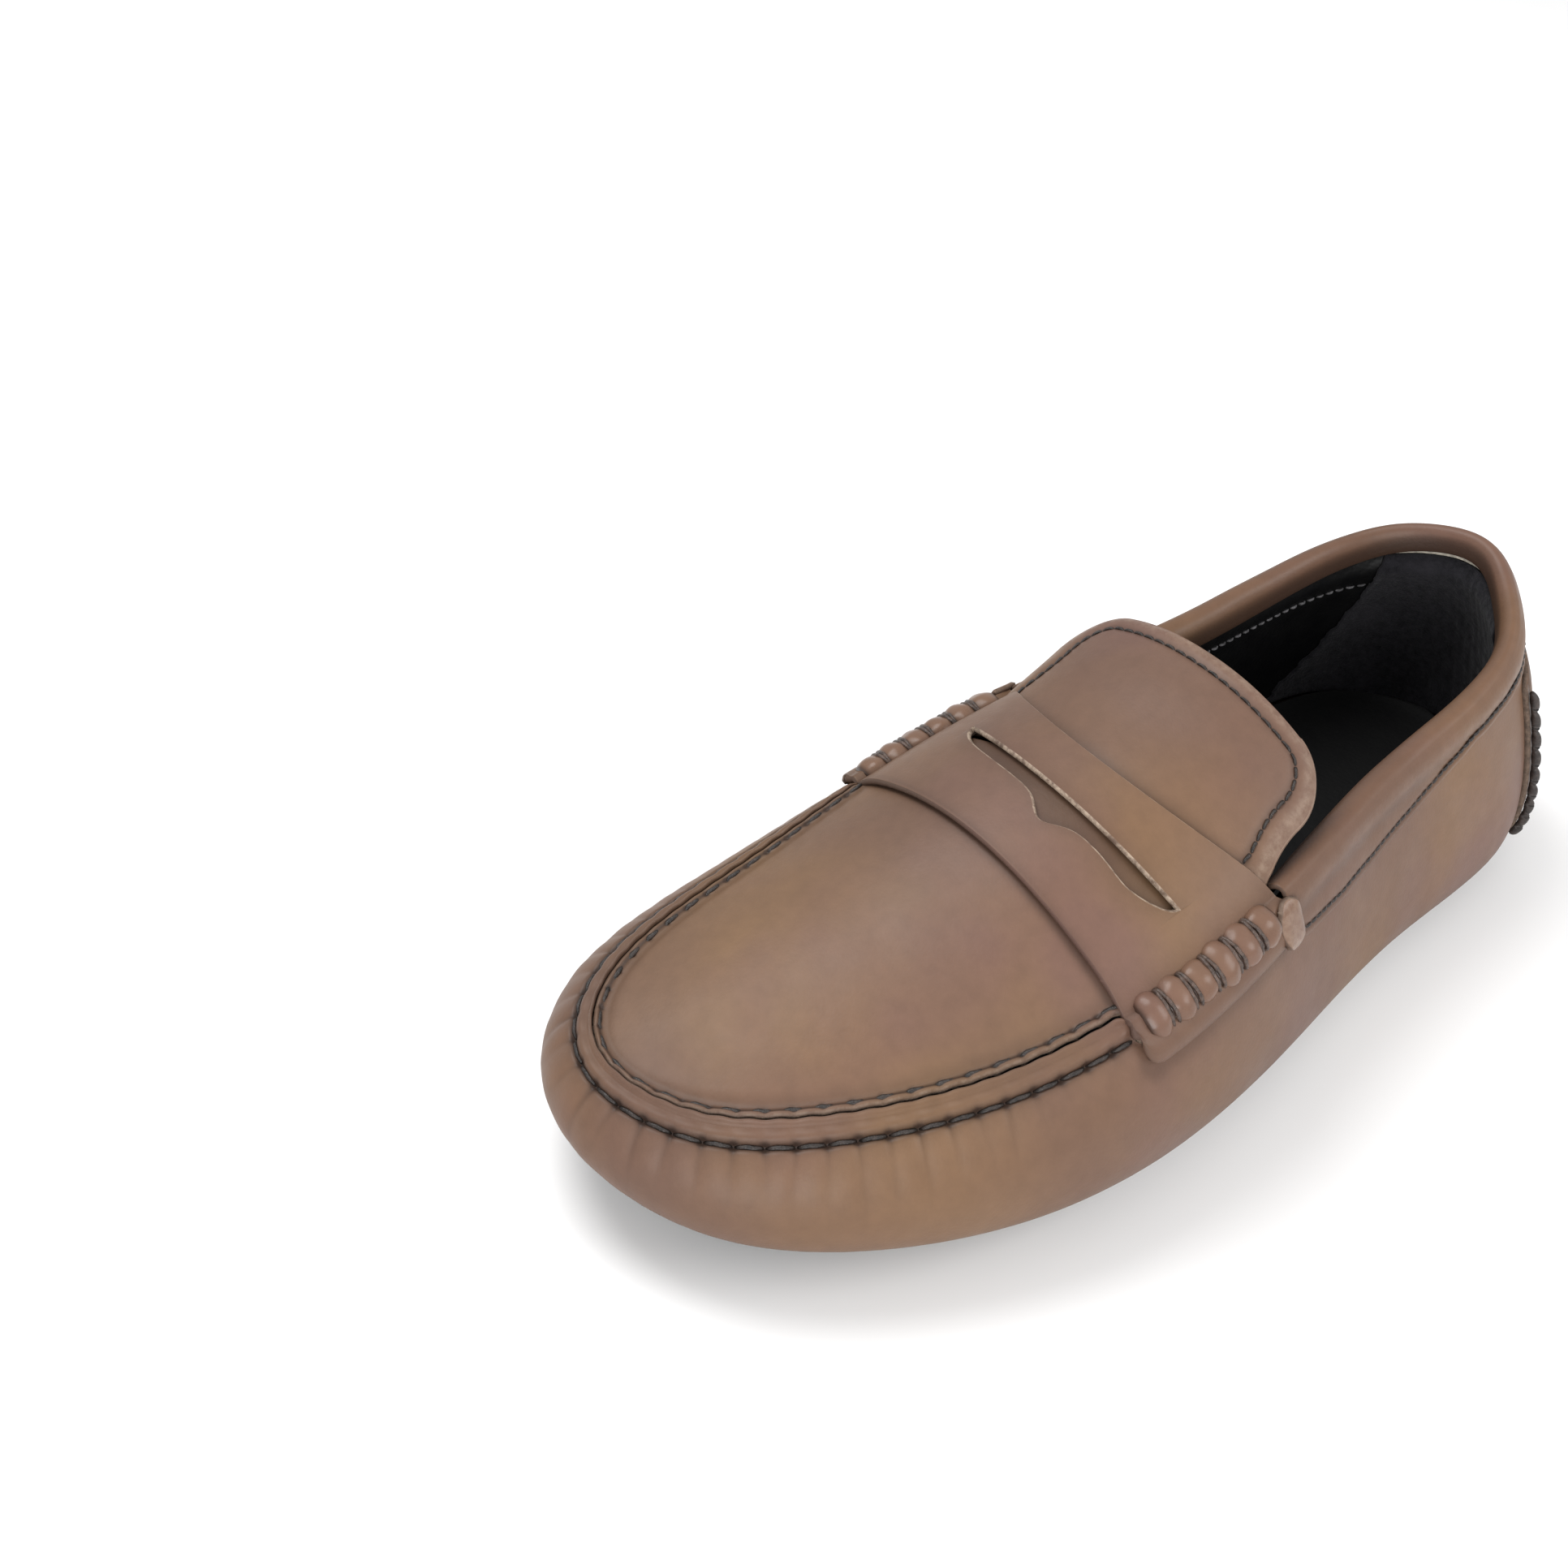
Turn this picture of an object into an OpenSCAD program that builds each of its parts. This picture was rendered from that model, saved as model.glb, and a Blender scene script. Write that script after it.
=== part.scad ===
// Left driving moccasin with a penny strap. Millimetres, +X towards the toe, +Y towards the
// outer side of the foot, +Z up. The origin is on the ground under the centre of the heel seat.

/* [Overall size] */
// Length over the leather, from the back of the heel to the tip of the toe
shoe_length = 290; // [250:1:320]
// Width at the ball of the foot, over the leather
ball_width = 104; // [88:1:116]
// Height of the top line at the back of the heel
heel_height = 75; // [64:1:84]
// Distance of the heel seat's centre from the back of the heel
heel_seat = 36; // [30:1:42]

/* [Leather and padding] */
// Thickness of the upper leather
leather = 1.6; // [1.2:0.1:2.2]
// Thickness of the lining leather
lining_t = 0.8; // [0.6:0.1:1.2]
// Thickness of the insole foam
foam_t = 3.4; // [2:0.2:5]
// Height of the raised lip along the apron seam
lip_height = 2.4; // [1.5:0.1:3.5]
// Free gap between two sheets that lie on each other
gap = 0.15; // [0.1:0.05:0.3]

/* [Strap and tongue] */
// Length of the tongue behind the strap
tongue_length = 31; // [22:1:40]
// Half width of the slot in the strap
slot_half = 33; // [20:1:35]
// Number of beads in each beef roll
bead_count = 6; // [4:1:8]
// Radius of a bead
bead_r = 3.7; // [3:0.1:4.5]

/* [Sole] */
// Height of a rubber pod under the leather
pod_height = 6; // [4:0.5:8]
// Radius of a pod at the ground
pod_r = 4.5; // [3:0.1:5]
// Distance between rows of pods; within a row they stand a little closer
pod_pitch = 15; // [12:0.5:18]

/* [Stitching] */
// Radius of the fine machine thread
fine_thread = 0.3; // [0.2:0.05:0.5]
// Radius of the hand-sewn thread
hand_thread = 0.55; // [0.4:0.05:0.8]

/* [Hidden] */

brown = [0.47, 0.34, 0.26];
dark_brown = [0.20, 0.14, 0.11];
black = [0.05, 0.05, 0.06];
charcoal = [0.13, 0.12, 0.13];
tan_foam = [0.75, 0.70, 0.60];

// Stations from the heel to the toe, as shares of the driving sizes:
// place along the length, outer half width, inner half width, top height, crown of the top,
// underside height and lean of the wall towards the middle, both in millimetres.
stations = [
    [0.000,  0.000,  0.000, 0.967,  0.0,  8.0,  6.0],
    [0.031,  0.205, -0.232, 0.913,  0.0,  6.6,  8.5],
    [0.124,  0.355, -0.352, 0.833, 10.0,  6.0,  9.0],
    [0.297,  0.402, -0.360, 0.753, 20.0,  6.0,  7.0],
    [0.469,  0.492, -0.394, 0.720, 17.5,  6.0,  7.5],
    [0.624,  0.545, -0.443, 0.627, 16.0,  6.0, 10.5],
    [0.762,  0.497, -0.455, 0.523, 12.0,  6.5, 12.5],
    [0.883,  0.367, -0.421, 0.470,  7.0,  8.0, 12.5],
    [0.966,  0.180, -0.300, 0.447,  2.0, 10.4, 11.0],
    [1.000, -0.078, -0.078, 0.447,  0.0, 12.0,  9.5]
];
tip = len(stations) - 1;          // ring position of the toe tip; the heel is at 0
turn = 2 * tip;                   // ring positions all the way round
bottom_inset = [16, 8];           // how far the flat underside lies inside the widest line, in
                                  // front and at the heel
pod_inset = 21;                   // and how far the outermost pods' centres do
heel_profile = [-6, 4];           // insets of the heel wall's two middle corner points

// Ring positions, equal and opposite on the two sides
flex_u = 5.33;                    // where the upper is divided at the ball of the foot
strap_front_u = 5.18;
strap_rear_u = 4.08;
strap_bow_u = 0.36;               // how far the strap's rear edge bows towards the toe
front_bow_u = 0.06;               // and its front edge
collar_front_u = 3.98;
tongue_front_u = 4.56;
plug_rear_u = 4.60;
grip_u = 2.3;
counter_u = 2.2;
patch_u = 1.6;

function on_side(i, side) = [
    shoe_length * stations[i][0] - heel_seat,
    ball_width * stations[i][side > 0 ? 1 : 2],
    heel_height * stations[i][3],
    stations[i][4], stations[i][5], stations[i][6]];
ring = concat([for (i = [0:tip]) on_side(i, 1)], [for (i = [tip - 1:-1:1]) on_side(i, -1)]);

function curve(p, q, r, s, t) = 0.5 * (2 * q + (r - p) * t + (2 * p - 5 * q + 4 * r - s) * t * t
                                       + (3 * q - p - 3 * r + s) * t * t * t);
function wrapped(i) = ring[((i % turn) + turn) % turn];
function station(u) = let (i = floor(u))
    curve(wrapped(i - 1), wrapped(i), wrapped(i + 1), wrapped(i + 2), u - i);
function inward(u) = let (d = station(u + 0.01) - station(u - 0.01)) [d[1], -d[0]] / norm([d[0], d[1]]);

function bezier(a, b, c, d, v) = pow(1 - v, 3) * a + 3 * pow(1 - v, 2) * v * b
                                 + 3 * (1 - v) * v * v * c + pow(v, 3) * d;
function bezier_dir(a, b, c, d, v) = let (t = pow(1 - v, 2) * (b - a) + 2 * (1 - v) * v * (c - b)
                                              + v * v * (d - c)) t / norm(t);
// How much of the heel's shape the wall has at u: fuller below and steeper above
function heel_share(u) = let (t = max(0, min(1, (min(abs(u), turn - abs(u)) - 3) / 2.5)))
    1 - t * t * (3 - 2 * t);
// Corner points of the wall's profile as [inset, height]
function profile(u, s) = let (h = s[2] - s[4], w = heel_share(u),
                              low = bottom_inset[0] * (1 - w) + bottom_inset[1] * w) [
    [low, s[4]], [-3 * (1 - w) + heel_profile[0] * w, s[4] - 0.5],
    [(-3 - 0.12 * s[5]) * (1 - w) + heel_profile[1] * w, s[4] + 0.72 * h], [s[5], s[2]]];

// A point of the wall: u round the shoe, v from the underside to the top edge, d into the shoe,
// lift upwards
function wall(u, v, d = 0, lift = 0) =
    let (s = station(u), n = inward(u), q = profile(u, s),
         p = bezier(q[0], q[1], q[2], q[3], v), t = bezier_dir(q[0], q[1], q[2], q[3], v),
         e = p + d * [t[1], -t[0]])
    [s[0] + n[0] * e[0], s[1] + n[1] * e[0], e[1] + lift];

// A point of the top edge, moved flat into the shoe by inset, and up by lift
function rim(u, inset, lift = 0) = let (s = station(u), n = inward(u), e = s[5] + inset)
    [s[0] + n[0] * e, s[1] + n[1] * e, s[2] + lift];

// A point of the top between the two seams: s from the outer seam 0 to the inner seam 1, with both
// ends moved in by inset
function top(u, s, lift = 0, inset = 0) = let (a = rim(u, inset), b = rim(-u, inset))
    a + s * (b - a) + [0, 0, station(u)[3] * 4 * s * (1 - s) + lift];

// A point of the foot bed: inset from the widest line, s across, lift over the underside
function bed(u, s, inset, lift) =
    let (a = station(u), b = station(-u), m = inward(u), n = inward(-u),
         p = [a[0] + m[0] * inset, a[1] + m[1] * inset, a[4]],
         q = [b[0] + n[0] * inset, b[1] + n[1] * inset, b[4]])
    p + s * (q - p) + [0, 0, lift];

// ---- solids from grids -------------------------------------------------------------------

function flat(grid) = [for (row = grid) each row];
function split(f) = [[f[0], f[2], f[1]], [f[0], f[3], f[2]]];

// Places from a to b: the ends, and the whole multiples of step between them. Sheets that lie on
// each other share these places, so that their facets nest.
function places(a, b, step) = concat([a], [for (k = [ceil(a / step + 0.2):floor(b / step - 0.2)]) k * step],
                                     [b]);
function round_places(a, b) = places(a, b, 0.25);
function height_places(a, b) = places(a, b, 0.08);
function wall_grid(us, vs, d) = [for (u = us) [for (v = vs) wall(u, v, d)]];

// A sheet between an outer and an inner grid with the same rows. Seen from outside, a grid's
// rows run to the left and its columns upwards.
module sheet(outer, inner) {
    rows = len(outer) - 1;
    cols = len(outer[0]) - 1;
    w = cols + 1;
    n = (rows + 1) * w;
    function at(i, j) = i * w + j;
    faces = concat(
        [for (i = [0:rows - 1], j = [0:cols - 1])
            each split([at(i, j), at(i, j + 1), at(i + 1, j + 1), at(i + 1, j)])],
        [for (i = [0:rows - 1], j = [0:cols - 1])
            each split([n + at(i, j), n + at(i + 1, j), n + at(i + 1, j + 1), n + at(i, j + 1)])],
        [for (i = [0:rows - 1]) each split([at(i, 0), at(i + 1, 0), n + at(i + 1, 0), n + at(i, 0)])],
        [for (i = [0:rows - 1])
            each split([at(i, cols), n + at(i, cols), n + at(i + 1, cols), at(i + 1, cols)])],
        [for (j = [0:cols - 1]) each split([at(0, j), n + at(0, j), n + at(0, j + 1), at(0, j + 1)])],
        [for (j = [0:cols - 1])
            each split([at(rows, j), at(rows, j + 1), n + at(rows, j + 1), n + at(rows, j)])]);
    polyhedron(concat(flat(outer), flat(inner)), faces, convexity = 8);
}

// A wall between two grids with a floor joining the two sides. Row i and row rows - i face each
// other across the shoe, and column 0 is the wall's foot.
module tub(outer, inner) {
    rows = len(outer) - 1;
    cols = len(outer[0]) - 1;
    w = cols + 1;
    n = (rows + 1) * w;
    half = rows / 2;
    function at(i, j) = i * w + j;
    function back(f) = [for (k = [len(f) - 1:-1:0]) f[k]];
    function floor_faces(o) = [for (i = [0:half - 1])
        let (f = split([o + at(i, 0), o + at(i + 1, 0), o + at(rows - i - 1, 0), o + at(rows - i, 0)]))
        each (i == half - 1 ? [f[1]] : f)];
    faces = concat(
        [for (i = [0:rows - 1], j = [0:cols - 1])
            each split([at(i, j), at(i, j + 1), at(i + 1, j + 1), at(i + 1, j)])],
        [for (i = [0:rows - 1], j = [0:cols - 1])
            each split([n + at(i, j), n + at(i + 1, j), n + at(i + 1, j + 1), n + at(i, j + 1)])],
        floor_faces(0), [for (f = floor_faces(n)) back(f)],
        [for (i = [0:rows - 1])
            each split([at(i, cols), n + at(i, cols), n + at(i + 1, cols), at(i + 1, cols)])],
        [for (j = [0:cols - 1]) each split([at(0, j), n + at(0, j), n + at(0, j + 1), at(0, j + 1)])],
        [for (j = [0:cols - 1])
            each split([at(rows, j), at(rows, j + 1), n + at(rows, j + 1), n + at(rows, j)])],
        split([at(0, 0), at(rows, 0), n + at(rows, 0), n + at(0, 0)]));
    polyhedron(concat(flat(outer), flat(inner)), faces, convexity = 8);
}

// A band of wall from ring position u0 to u1 and height v0 to v1, between depths d0 and d1
module band(u0, u1, v0, v1, d0, d1) {
    us = round_places(u0, u1);
    vs = height_places(v0, v1);
    sheet(wall_grid(us, vs, d0), wall_grid(us, vs, d1));
}

// A flat sheet on the foot bed between ring positions u0 and u1
module bed_sheet(u0, u1, inset, h0, h1) {
    function across(h) = [for (u = round_places(u0, u1)) [for (s = [0:0.2:1]) bed(u, s, inset, h)]];
    sheet(across(h1), across(h0));
}

// A rod from point p to point q
module rod(p, q, r) {
    d = q - p;
    translate(p) rotate([0, acos(d[2] / norm(d)), atan2(d[1], d[0])])
        cylinder(r = r, h = norm(d), $fn = 24);
}

// Running stitches through a list of points: each second stretch shows
module stitches(path, r) {
    for (i = [0:2:len(path) - 2]) rod(path[i], path[i + 1], r);
}
function wall_path(u0, u1, v, d, count) = [for (i = [0:count]) wall(u0 + (u1 - u0) * i / count, v, d)];

// ---- leather upper -----------------------------------------------------------------------

// Rear half of the wrap-round upper, open at the ball of the foot
module quarters() {
    us = round_places(-flex_u + 0.01, flex_u - 0.01);
    vs = height_places(0, 0.97);
    color(brown) tub(wall_grid(us, vs, 0), wall_grid(us, vs, leather));
}

// Front half of the wrap-round upper, with its edge turned up along the apron seam
module vamp() {
    us = round_places(flex_u + 0.01, turn - flex_u - 0.01);
    function grid(d) = [for (u = us) concat([for (v = height_places(0, 0.96)) wall(u, v, d)],
                                            [rim(u, d, -d / 2), rim(u, d, lip_height)])];
    color(brown) tub(grid(0), grid(leather));
}

// Apron over the toes. Its edge stands up against the vamp's, and it runs on under the strap.
module apron_plug() {
    us = round_places(plug_rear_u, tip - 0.25);
    across = [0.1, 0.2, 0.35, 0.5, 0.65, 0.8, 0.9];
    roll_room = 2.8;               // how much narrower the apron is between the rolls
    function lip(u) = u > strap_front_u ? lip_height : 0;
    function lip_out(u) = leather + gap + (u > strap_front_u ? 0 : roll_room);
    function lip_in(u) = lip_out(u) + leather;
    function upper(u) = concat(
        [rim(u, lip_in(u), lip(u)), rim(u, lip_in(u) + 0.1, 0.2)],
        [for (s = across) top(u, s, 0, lip_in(u) + 0.2)],
        [rim(-u, lip_in(u) + 0.1, 0.2), rim(-u, lip_in(u), lip(u))]);
    function lower(u) = concat(
        [rim(u, lip_out(u), lip(u)), rim(u, lip_out(u), -leather)],
        [for (s = across) top(u, s, -leather, lip_in(u) + 0.2)],
        [rim(-u, lip_out(u), -leather), rim(-u, lip_out(u), lip(u))]);
    color(brown) sheet([for (u = us) upper(u)], [for (u = us) lower(u)]);
}

// Penny strap across the instep, with its ends turned down outside the wall
module saddle_strap() {
    n = 8;
    flange = [0.88, 0.92, 0.96];
    function row_u(i, s) = let (bow = 4 * s * (1 - s), rear = strap_rear_u + strap_bow_u * bow,
                                front = strap_front_u + front_bow_u * bow)
        rear + (front - rear) * i / n;
    function line(i, low, high) = let (u = row_u(i, 0)) concat(
        [for (v = flange) wall(u, v, -low)],
        [wall(u, 1, -low * 0.7, high * 0.7)],
        [for (s = [0.05:0.1:0.95]) top(row_u(i, s), s, high)],
        [wall(-u, 1, -low * 0.7, high * 0.7)],
        [for (k = [2:-1:0]) wall(-u, flange[k], -low)]);
    color(brown) difference() {
        sheet([for (i = [0:n]) line(i, leather + gap, leather + 3 * gap)],
              [for (i = [0:n]) line(i, gap, 3 * gap)]);
        translate([0, 0, 40]) linear_extrude(60) strap_slot();
    }
}

// Outline of the slot: both edges bow towards the toe, and the front one has a lobe in the middle
module strap_slot() {
    mid = top(strap_front_u, 0.5);
    edge = 23.5;                   // how far the slot's ends lie behind the strap's front edge
    steps = 24;
    // t runs over the slot's width from -1 to 1
    function bow(t) = 5.5 * (1 - t * t);
    function opening(t) = 0.4 + 4.6 * sqrt(1 - pow(t, 8)) + 4 * exp(-pow(t * 6, 2));
    rear_line = [for (k = [-steps:steps]) let (t = k / steps) [bow(t), slot_half * t]];
    front_line = [for (k = [steps:-1:-steps]) let (t = k / steps) [bow(t) + opening(t), slot_half * t]];
    translate([mid[0] - edge, mid[1]]) polygon(concat(rear_line, front_line));
}

// Rolled leather over the strap's end, whipped into beads. side is 1 outside and -1 inside.
neck_r = bead_r * 0.68;
roll_u = [strap_rear_u + 0.10, strap_front_u - 0.07];  // ends of the rolls
roll_inset = -0.9;                // their axis lies this far inside the top edge
roll_lift = -1.0;                 // and this far above it
function roll_point(side, f) = rim(side * (roll_u[0] + (roll_u[1] - roll_u[0]) * f), roll_inset, roll_lift);
module along_roll(side) {
    a = roll_point(side, 0);
    d = roll_point(side, 1) - a;
    translate(a) rotate([0, acos(d[2] / norm(d)), atan2(d[1], d[0])]) children();
}
function roll_length(side) = norm(roll_point(side, 1) - roll_point(side, 0));
module beef_roll(side) {
    per_bead = 8;
    n = bead_count * per_bead;
    function bulge(i) = neck_r + (bead_r - neck_r) * pow(abs(sin(180 * i / per_bead)), 0.6);
    outline = [for (i = [0:n]) [bulge(i), roll_length(side) * i / n]];
    along_roll(side) rotate_extrude($fn = 48)
        polygon(concat([[0, 0]], outline, [[0, roll_length(side)]]));
}
module roll_thread(side) {
    along_roll(side) for (k = [1:bead_count - 1]) translate([0, 0, roll_length(side) * k / bead_count])
        rotate_extrude($fn = 48) translate([neck_r + 0.35, 0]) circle(r = hand_thread, $fn = 16);
}

// Hand stitches through the lip, seen on the vamp and on the plug
module seam_thread_outer() {
    path = wall_path(flex_u + 0.04, turn - flex_u - 0.04, 0.95, -0.3, 104);
    color(dark_brown) stitches(path, hand_thread);
}
module seam_thread_inner() {
    count = 116;
    first_u = strap_front_u + 0.1;
    depth = 2 * leather + gap + 0.3;
    path = [for (i = [0:count]) rim(first_u + (turn - 2 * first_u) * i / count, depth, 1.1)];
    color(dark_brown) stitches(path, hand_thread * 0.8);
}

// ---- tongue ------------------------------------------------------------------------------

// Ring position of the tongue's rear edge, how far it stands up there in the middle and at the
// sides, and how much of the width a row of it fills
tongue_rear_u = 3.60;
tongue_rise = [4.7, 10];
function tongue_fill(f) = let (corner = 0.42, t = f < corner ? 1 - f / corner : 0)
    0.32 + 0.50 * sqrt(1 - t * t) + 0.02 * f;
// The part behind the strap rises towards its rear edge
function tongue_lift(u, s) = let (edge = strap_rear_u + strap_bow_u * 4 * s * (1 - s) - 0.05,
                                  rise = tongue_rise[0] + (tongue_rise[1] - tongue_rise[0]) * pow(2 * s - 1, 2))
    rise * max(0, min(1, (edge - u) / (edge - tongue_rear_u)));
module tongue_sheet(low, high, shrink) {
    n = 16;
    function row(i, lift) = let (f = 1 - cos(90 * i / n),
                                 u = tongue_rear_u + shrink + (tongue_front_u - tongue_rear_u - shrink) * f,
                                 w = tongue_fill(f) - 2 * shrink)
        [for (j = [0:12]) let (s = 0.5 + w * (j / 12 - 0.5)) top(u, s, lift + tongue_lift(u, s))];
    sheet([for (i = [0:n]) row(i, high)], [for (i = [0:n]) row(i, low)]);
}
module tongue() {
    color(brown) tongue_sheet(-leather, 0, 0);
}
module tongue_lining() {
    color(black) tongue_sheet(-leather - gap - lining_t, -leather - gap, 0.01);
}
module tongue_thread() {
    function thread_point(u, s) = top(u, s, 0.15 + tongue_lift(u, s));
    count = 27;
    inset = 0.045;
    rear_f = 0.05;
    front_f = 0.44;
    function edge(side, k) = let (f = rear_f + (front_f - rear_f) * pow(k / count, 1.5),
                                  u = tongue_rear_u + (tongue_front_u - tongue_rear_u) * f)
        thread_point(u, 0.5 + side * (tongue_fill(f) / 2 - inset));
    function rear(k) = let (u = tongue_rear_u + (tongue_front_u - tongue_rear_u) * rear_f,
                            half = tongue_fill(rear_f) / 2 - inset)
        thread_point(u, 0.5 + half * (1 - 2 * k / count));
    color(dark_brown) {
        stitches([for (k = [1:count]) edge(-1, k)], fine_thread);
        stitches([for (k = [1:count]) edge(1, k)], fine_thread);
        stitches([for (k = [0:count]) rear(k)], fine_thread);
    }
}

// ---- collar and heel ---------------------------------------------------------------------

// Lower edge of the collar as [ring position, height on the wall]
collar_edge = [[0, 0.845], [1, 0.86], [1.63, 0.87], [2.1, 0.87], [2.4, 0.86], [2.7, 0.83], [3, 0.79],
               [3.3, 0.765], [3.6, 0.76], [4, 0.79]];
pad = 1.6;                        // how far the collar padding pushes the lining in
function collar_low(u) = lookup(abs(u), collar_edge);

// Leather folded over the top line
module collar() {
    us = round_places(-collar_front_u, collar_front_u);
    // sections as [share of the way up from the lower edge, depth, height over the top line]
    outer = [[0, -1.4, 0], [0.35, -1.6, 0], [0.70, -1.8, 0], [1, -1.6, 0], [1, -0.2, 1.9],
             [1, 1.9, 2.6], [1, 4.0, 1.9], [1, 5.4, 0], [1, 5.7, -2], [1, 5.6, -3.2]];
    inner = [[0, -0.15, 0], [0.35, -0.2, 0], [0.70, -0.3, 0], [1, -0.3, 0], [1, 0.6, 0.9],
             [1, 1.9, 1.3], [1, 3.2, 0.9], [1, 4.2, 0], [1, 4.5, -2], [1, 4.4, -3.2]];
    function grid(section) = [for (u = us) let (low = collar_low(u))
        [for (p = section) wall(u, low + (1 - low) * p[0], p[1], p[2])]];
    color(brown) sheet(grid(outer), grid(inner));
}
module collar_foam() {
    color(tan_foam) band(-collar_front_u + 0.05, collar_front_u - 0.05, 0.80, 0.965, leather + gap,
                         leather + gap + pad - 0.3);
}
module collar_thread() {
    count = 180;
    path = [for (i = [0:count]) let (u = (collar_front_u - 0.06) * (2 * i / count - 1))
        wall(u, collar_low(u) + 0.03, -1.6)];
    color(dark_brown) stitches(path, fine_thread);
}

// Patch sewn over the back of the heel, from below the collar down to the sole
patch_low = 0.14;
patch_high = 0.82;
module heel_patch() {
    us = round_places(-patch_u, patch_u);
    function grid(d) = [for (u = us) let (t = u / patch_u, rise = 0.94 + 0.06 * sqrt(1 - t * t))
        [for (f = [0:0.1:1]) wall(u, patch_low + (patch_high - patch_low) * f * rise, d)]];
    color(brown) sheet(grid(-leather - gap), grid(-gap));
}
// Thick stitches that run along the patch's side edges
module heel_patch_thread() {
    count = 8;
    stitch_v = 0.066;              // length of a stitch on the wall
    first_v = patch_low + 0.03;
    last_v = patch_low + (patch_high - patch_low) * 0.94 - 0.03 - stitch_v;
    color(dark_brown) for (side = [-1, 1], k = [0:count - 1])
        let (u = side * (patch_u - 0.04), v = first_v + (last_v - first_v) * k / (count - 1))
            rod(wall(u, v, -leather - 0.5), wall(u, v + stitch_v, -leather - 0.5), hand_thread * 1.6);
}
module heel_counter() {
    color(tan_foam) band(-counter_u, counter_u, 0.24, 0.72, leather + gap, leather + gap + 1.1);
}

function lining_d(v) = leather + 1.1 + 3 * gap + pad * max(0, min(1, (v - 0.70) / 0.2));
function lining_grid(us, vs, extra) = [for (u = us) [for (v = vs) wall(u, v, lining_d(v) + extra)]];
module quarter_lining() {
    us = round_places(-flex_u + 0.05, flex_u - 0.05);
    vs = height_places(0.24, 0.925);
    color(black) sheet(lining_grid(us, vs, 0), lining_grid(us, vs, lining_t));
}
module heel_grip() {
    us = round_places(-grip_u, grip_u);
    vs = height_places(0.24, 0.90);
    low = lining_t + gap;
    color(charcoal) sheet(lining_grid(us, vs, low), lining_grid(us, vs, low + 0.9));
}
module lining_thread() {
    d = lining_d(0.80) + lining_t + 0.15;
    color(charcoal) for (side = [-1, 1])
        stitches(wall_path(side * (grip_u + 0.1), side * (collar_front_u - 0.1), 0.80, d, 50), fine_thread);
}
module toe_lining() {
    color(black) band(flex_u + 0.05, turn - flex_u - 0.05, 0.24, 0.95, leather + gap,
                      leather + gap + lining_t);
}

// ---- foot bed ----------------------------------------------------------------------------

bed_gap = 0.4;                    // free height between the layers of the foot bed
board_t = 1.4;
sock_t = 1.1;
board_h = leather + 3 * bed_gap;
foam_h = board_h + board_t + bed_gap;
sock_h = foam_h + foam_t + bed_gap;
module insole_board() {
    color(tan_foam) bed_sheet(0.2, 4.4, 13, board_h, board_h + board_t);
}
module insole_foam() {
    color(tan_foam) bed_sheet(0.2, tip - 0.2, 12, foam_h, foam_h + foam_t);
}
module sock_liner() {
    color(black) bed_sheet(0.16, tip - 0.16, 11, sock_h, sock_h + sock_t);
}

// ---- rubber sole -------------------------------------------------------------------------

sunk = 0.8;                       // how far a pod's root goes into the leather
heel_rows = [-15, 32];            // places of the first and the last row the heel pods may use
ball_rows = [90, 152];
toe_rows = [167, 212];

// A pod with its foot at the given height and its root in the leather, which lies at under
module pod(x, y, foot, under) {
    translate([x, y, foot]) cylinder(r1 = pod_r, r2 = pod_r + 0.6, h = under - foot + sunk, $fn = 40);
}
// Ring position with the given x, by halving
function find_u(x, low = 0, high = 9, steps = 24) = steps == 0 ? (low + high) / 2
    : station((low + high) / 2)[0] < x ? find_u(x, (low + high) / 2, high, steps - 1)
                                       : find_u(x, low, (low + high) / 2, steps - 1);
// Rows of pods, as many across as the underside is wide. They stand on the ground, or follow the
// underside up where it rises.
module pod_field(rows, rising) {
    for (k = [0:floor((rows[1] - rows[0]) / pod_pitch)]) {
        x = rows[0] + k * pod_pitch;
        a = bed(find_u(x), 0, pod_inset, 0);
        b = bed(find_u(x), 1, pod_inset, 0);
        count = floor((a[1] - b[1]) / (pod_pitch - 3));
        for (j = [0:count])
            pod(x, a[1] + (b[1] - a[1]) * j / count, rising ? a[2] - pod_height : 0, a[2]);
    }
}
module heel_pods() {
    color(black) pod_field(heel_rows, false);
}
module ball_pods() {
    color(black) pod_field(ball_rows, false);
}
module toe_pods() {
    color(black) pod_field(toe_rows, true);
}
// Curved bar round the edge of the toe
module toe_bumper() {
    first_u = tip - 1.75;
    n = 24;
    // Sections as [inset, height over the underside], from the foot upwards
    outer_line = [[12, -0.8], [10.6, -0.55], [8.4, -0.1], [7.8, 0.15]];
    inner_line = [[16.5, -0.8], [17, -0.5], [17, 0], [17, 0.12]];
    function rows(line) = [for (i = [0:n])
        let (u = first_u + (turn - 2 * first_u) * i / n, s = station(u), m = inward(u))
        [for (p = line) [s[0] + m[0] * p[0], s[1] + m[1] * p[0], s[4] + p[1] * pod_height]]];
    color(black) sheet(rows(outer_line), rows(inner_line));
}

module beef_roll_lateral() { color(brown) beef_roll(1); }
module beef_roll_medial() { color(brown) beef_roll(-1); }
module roll_thread_lateral() { color(dark_brown) roll_thread(1); }
module roll_thread_medial() { color(dark_brown) roll_thread(-1); }

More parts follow.
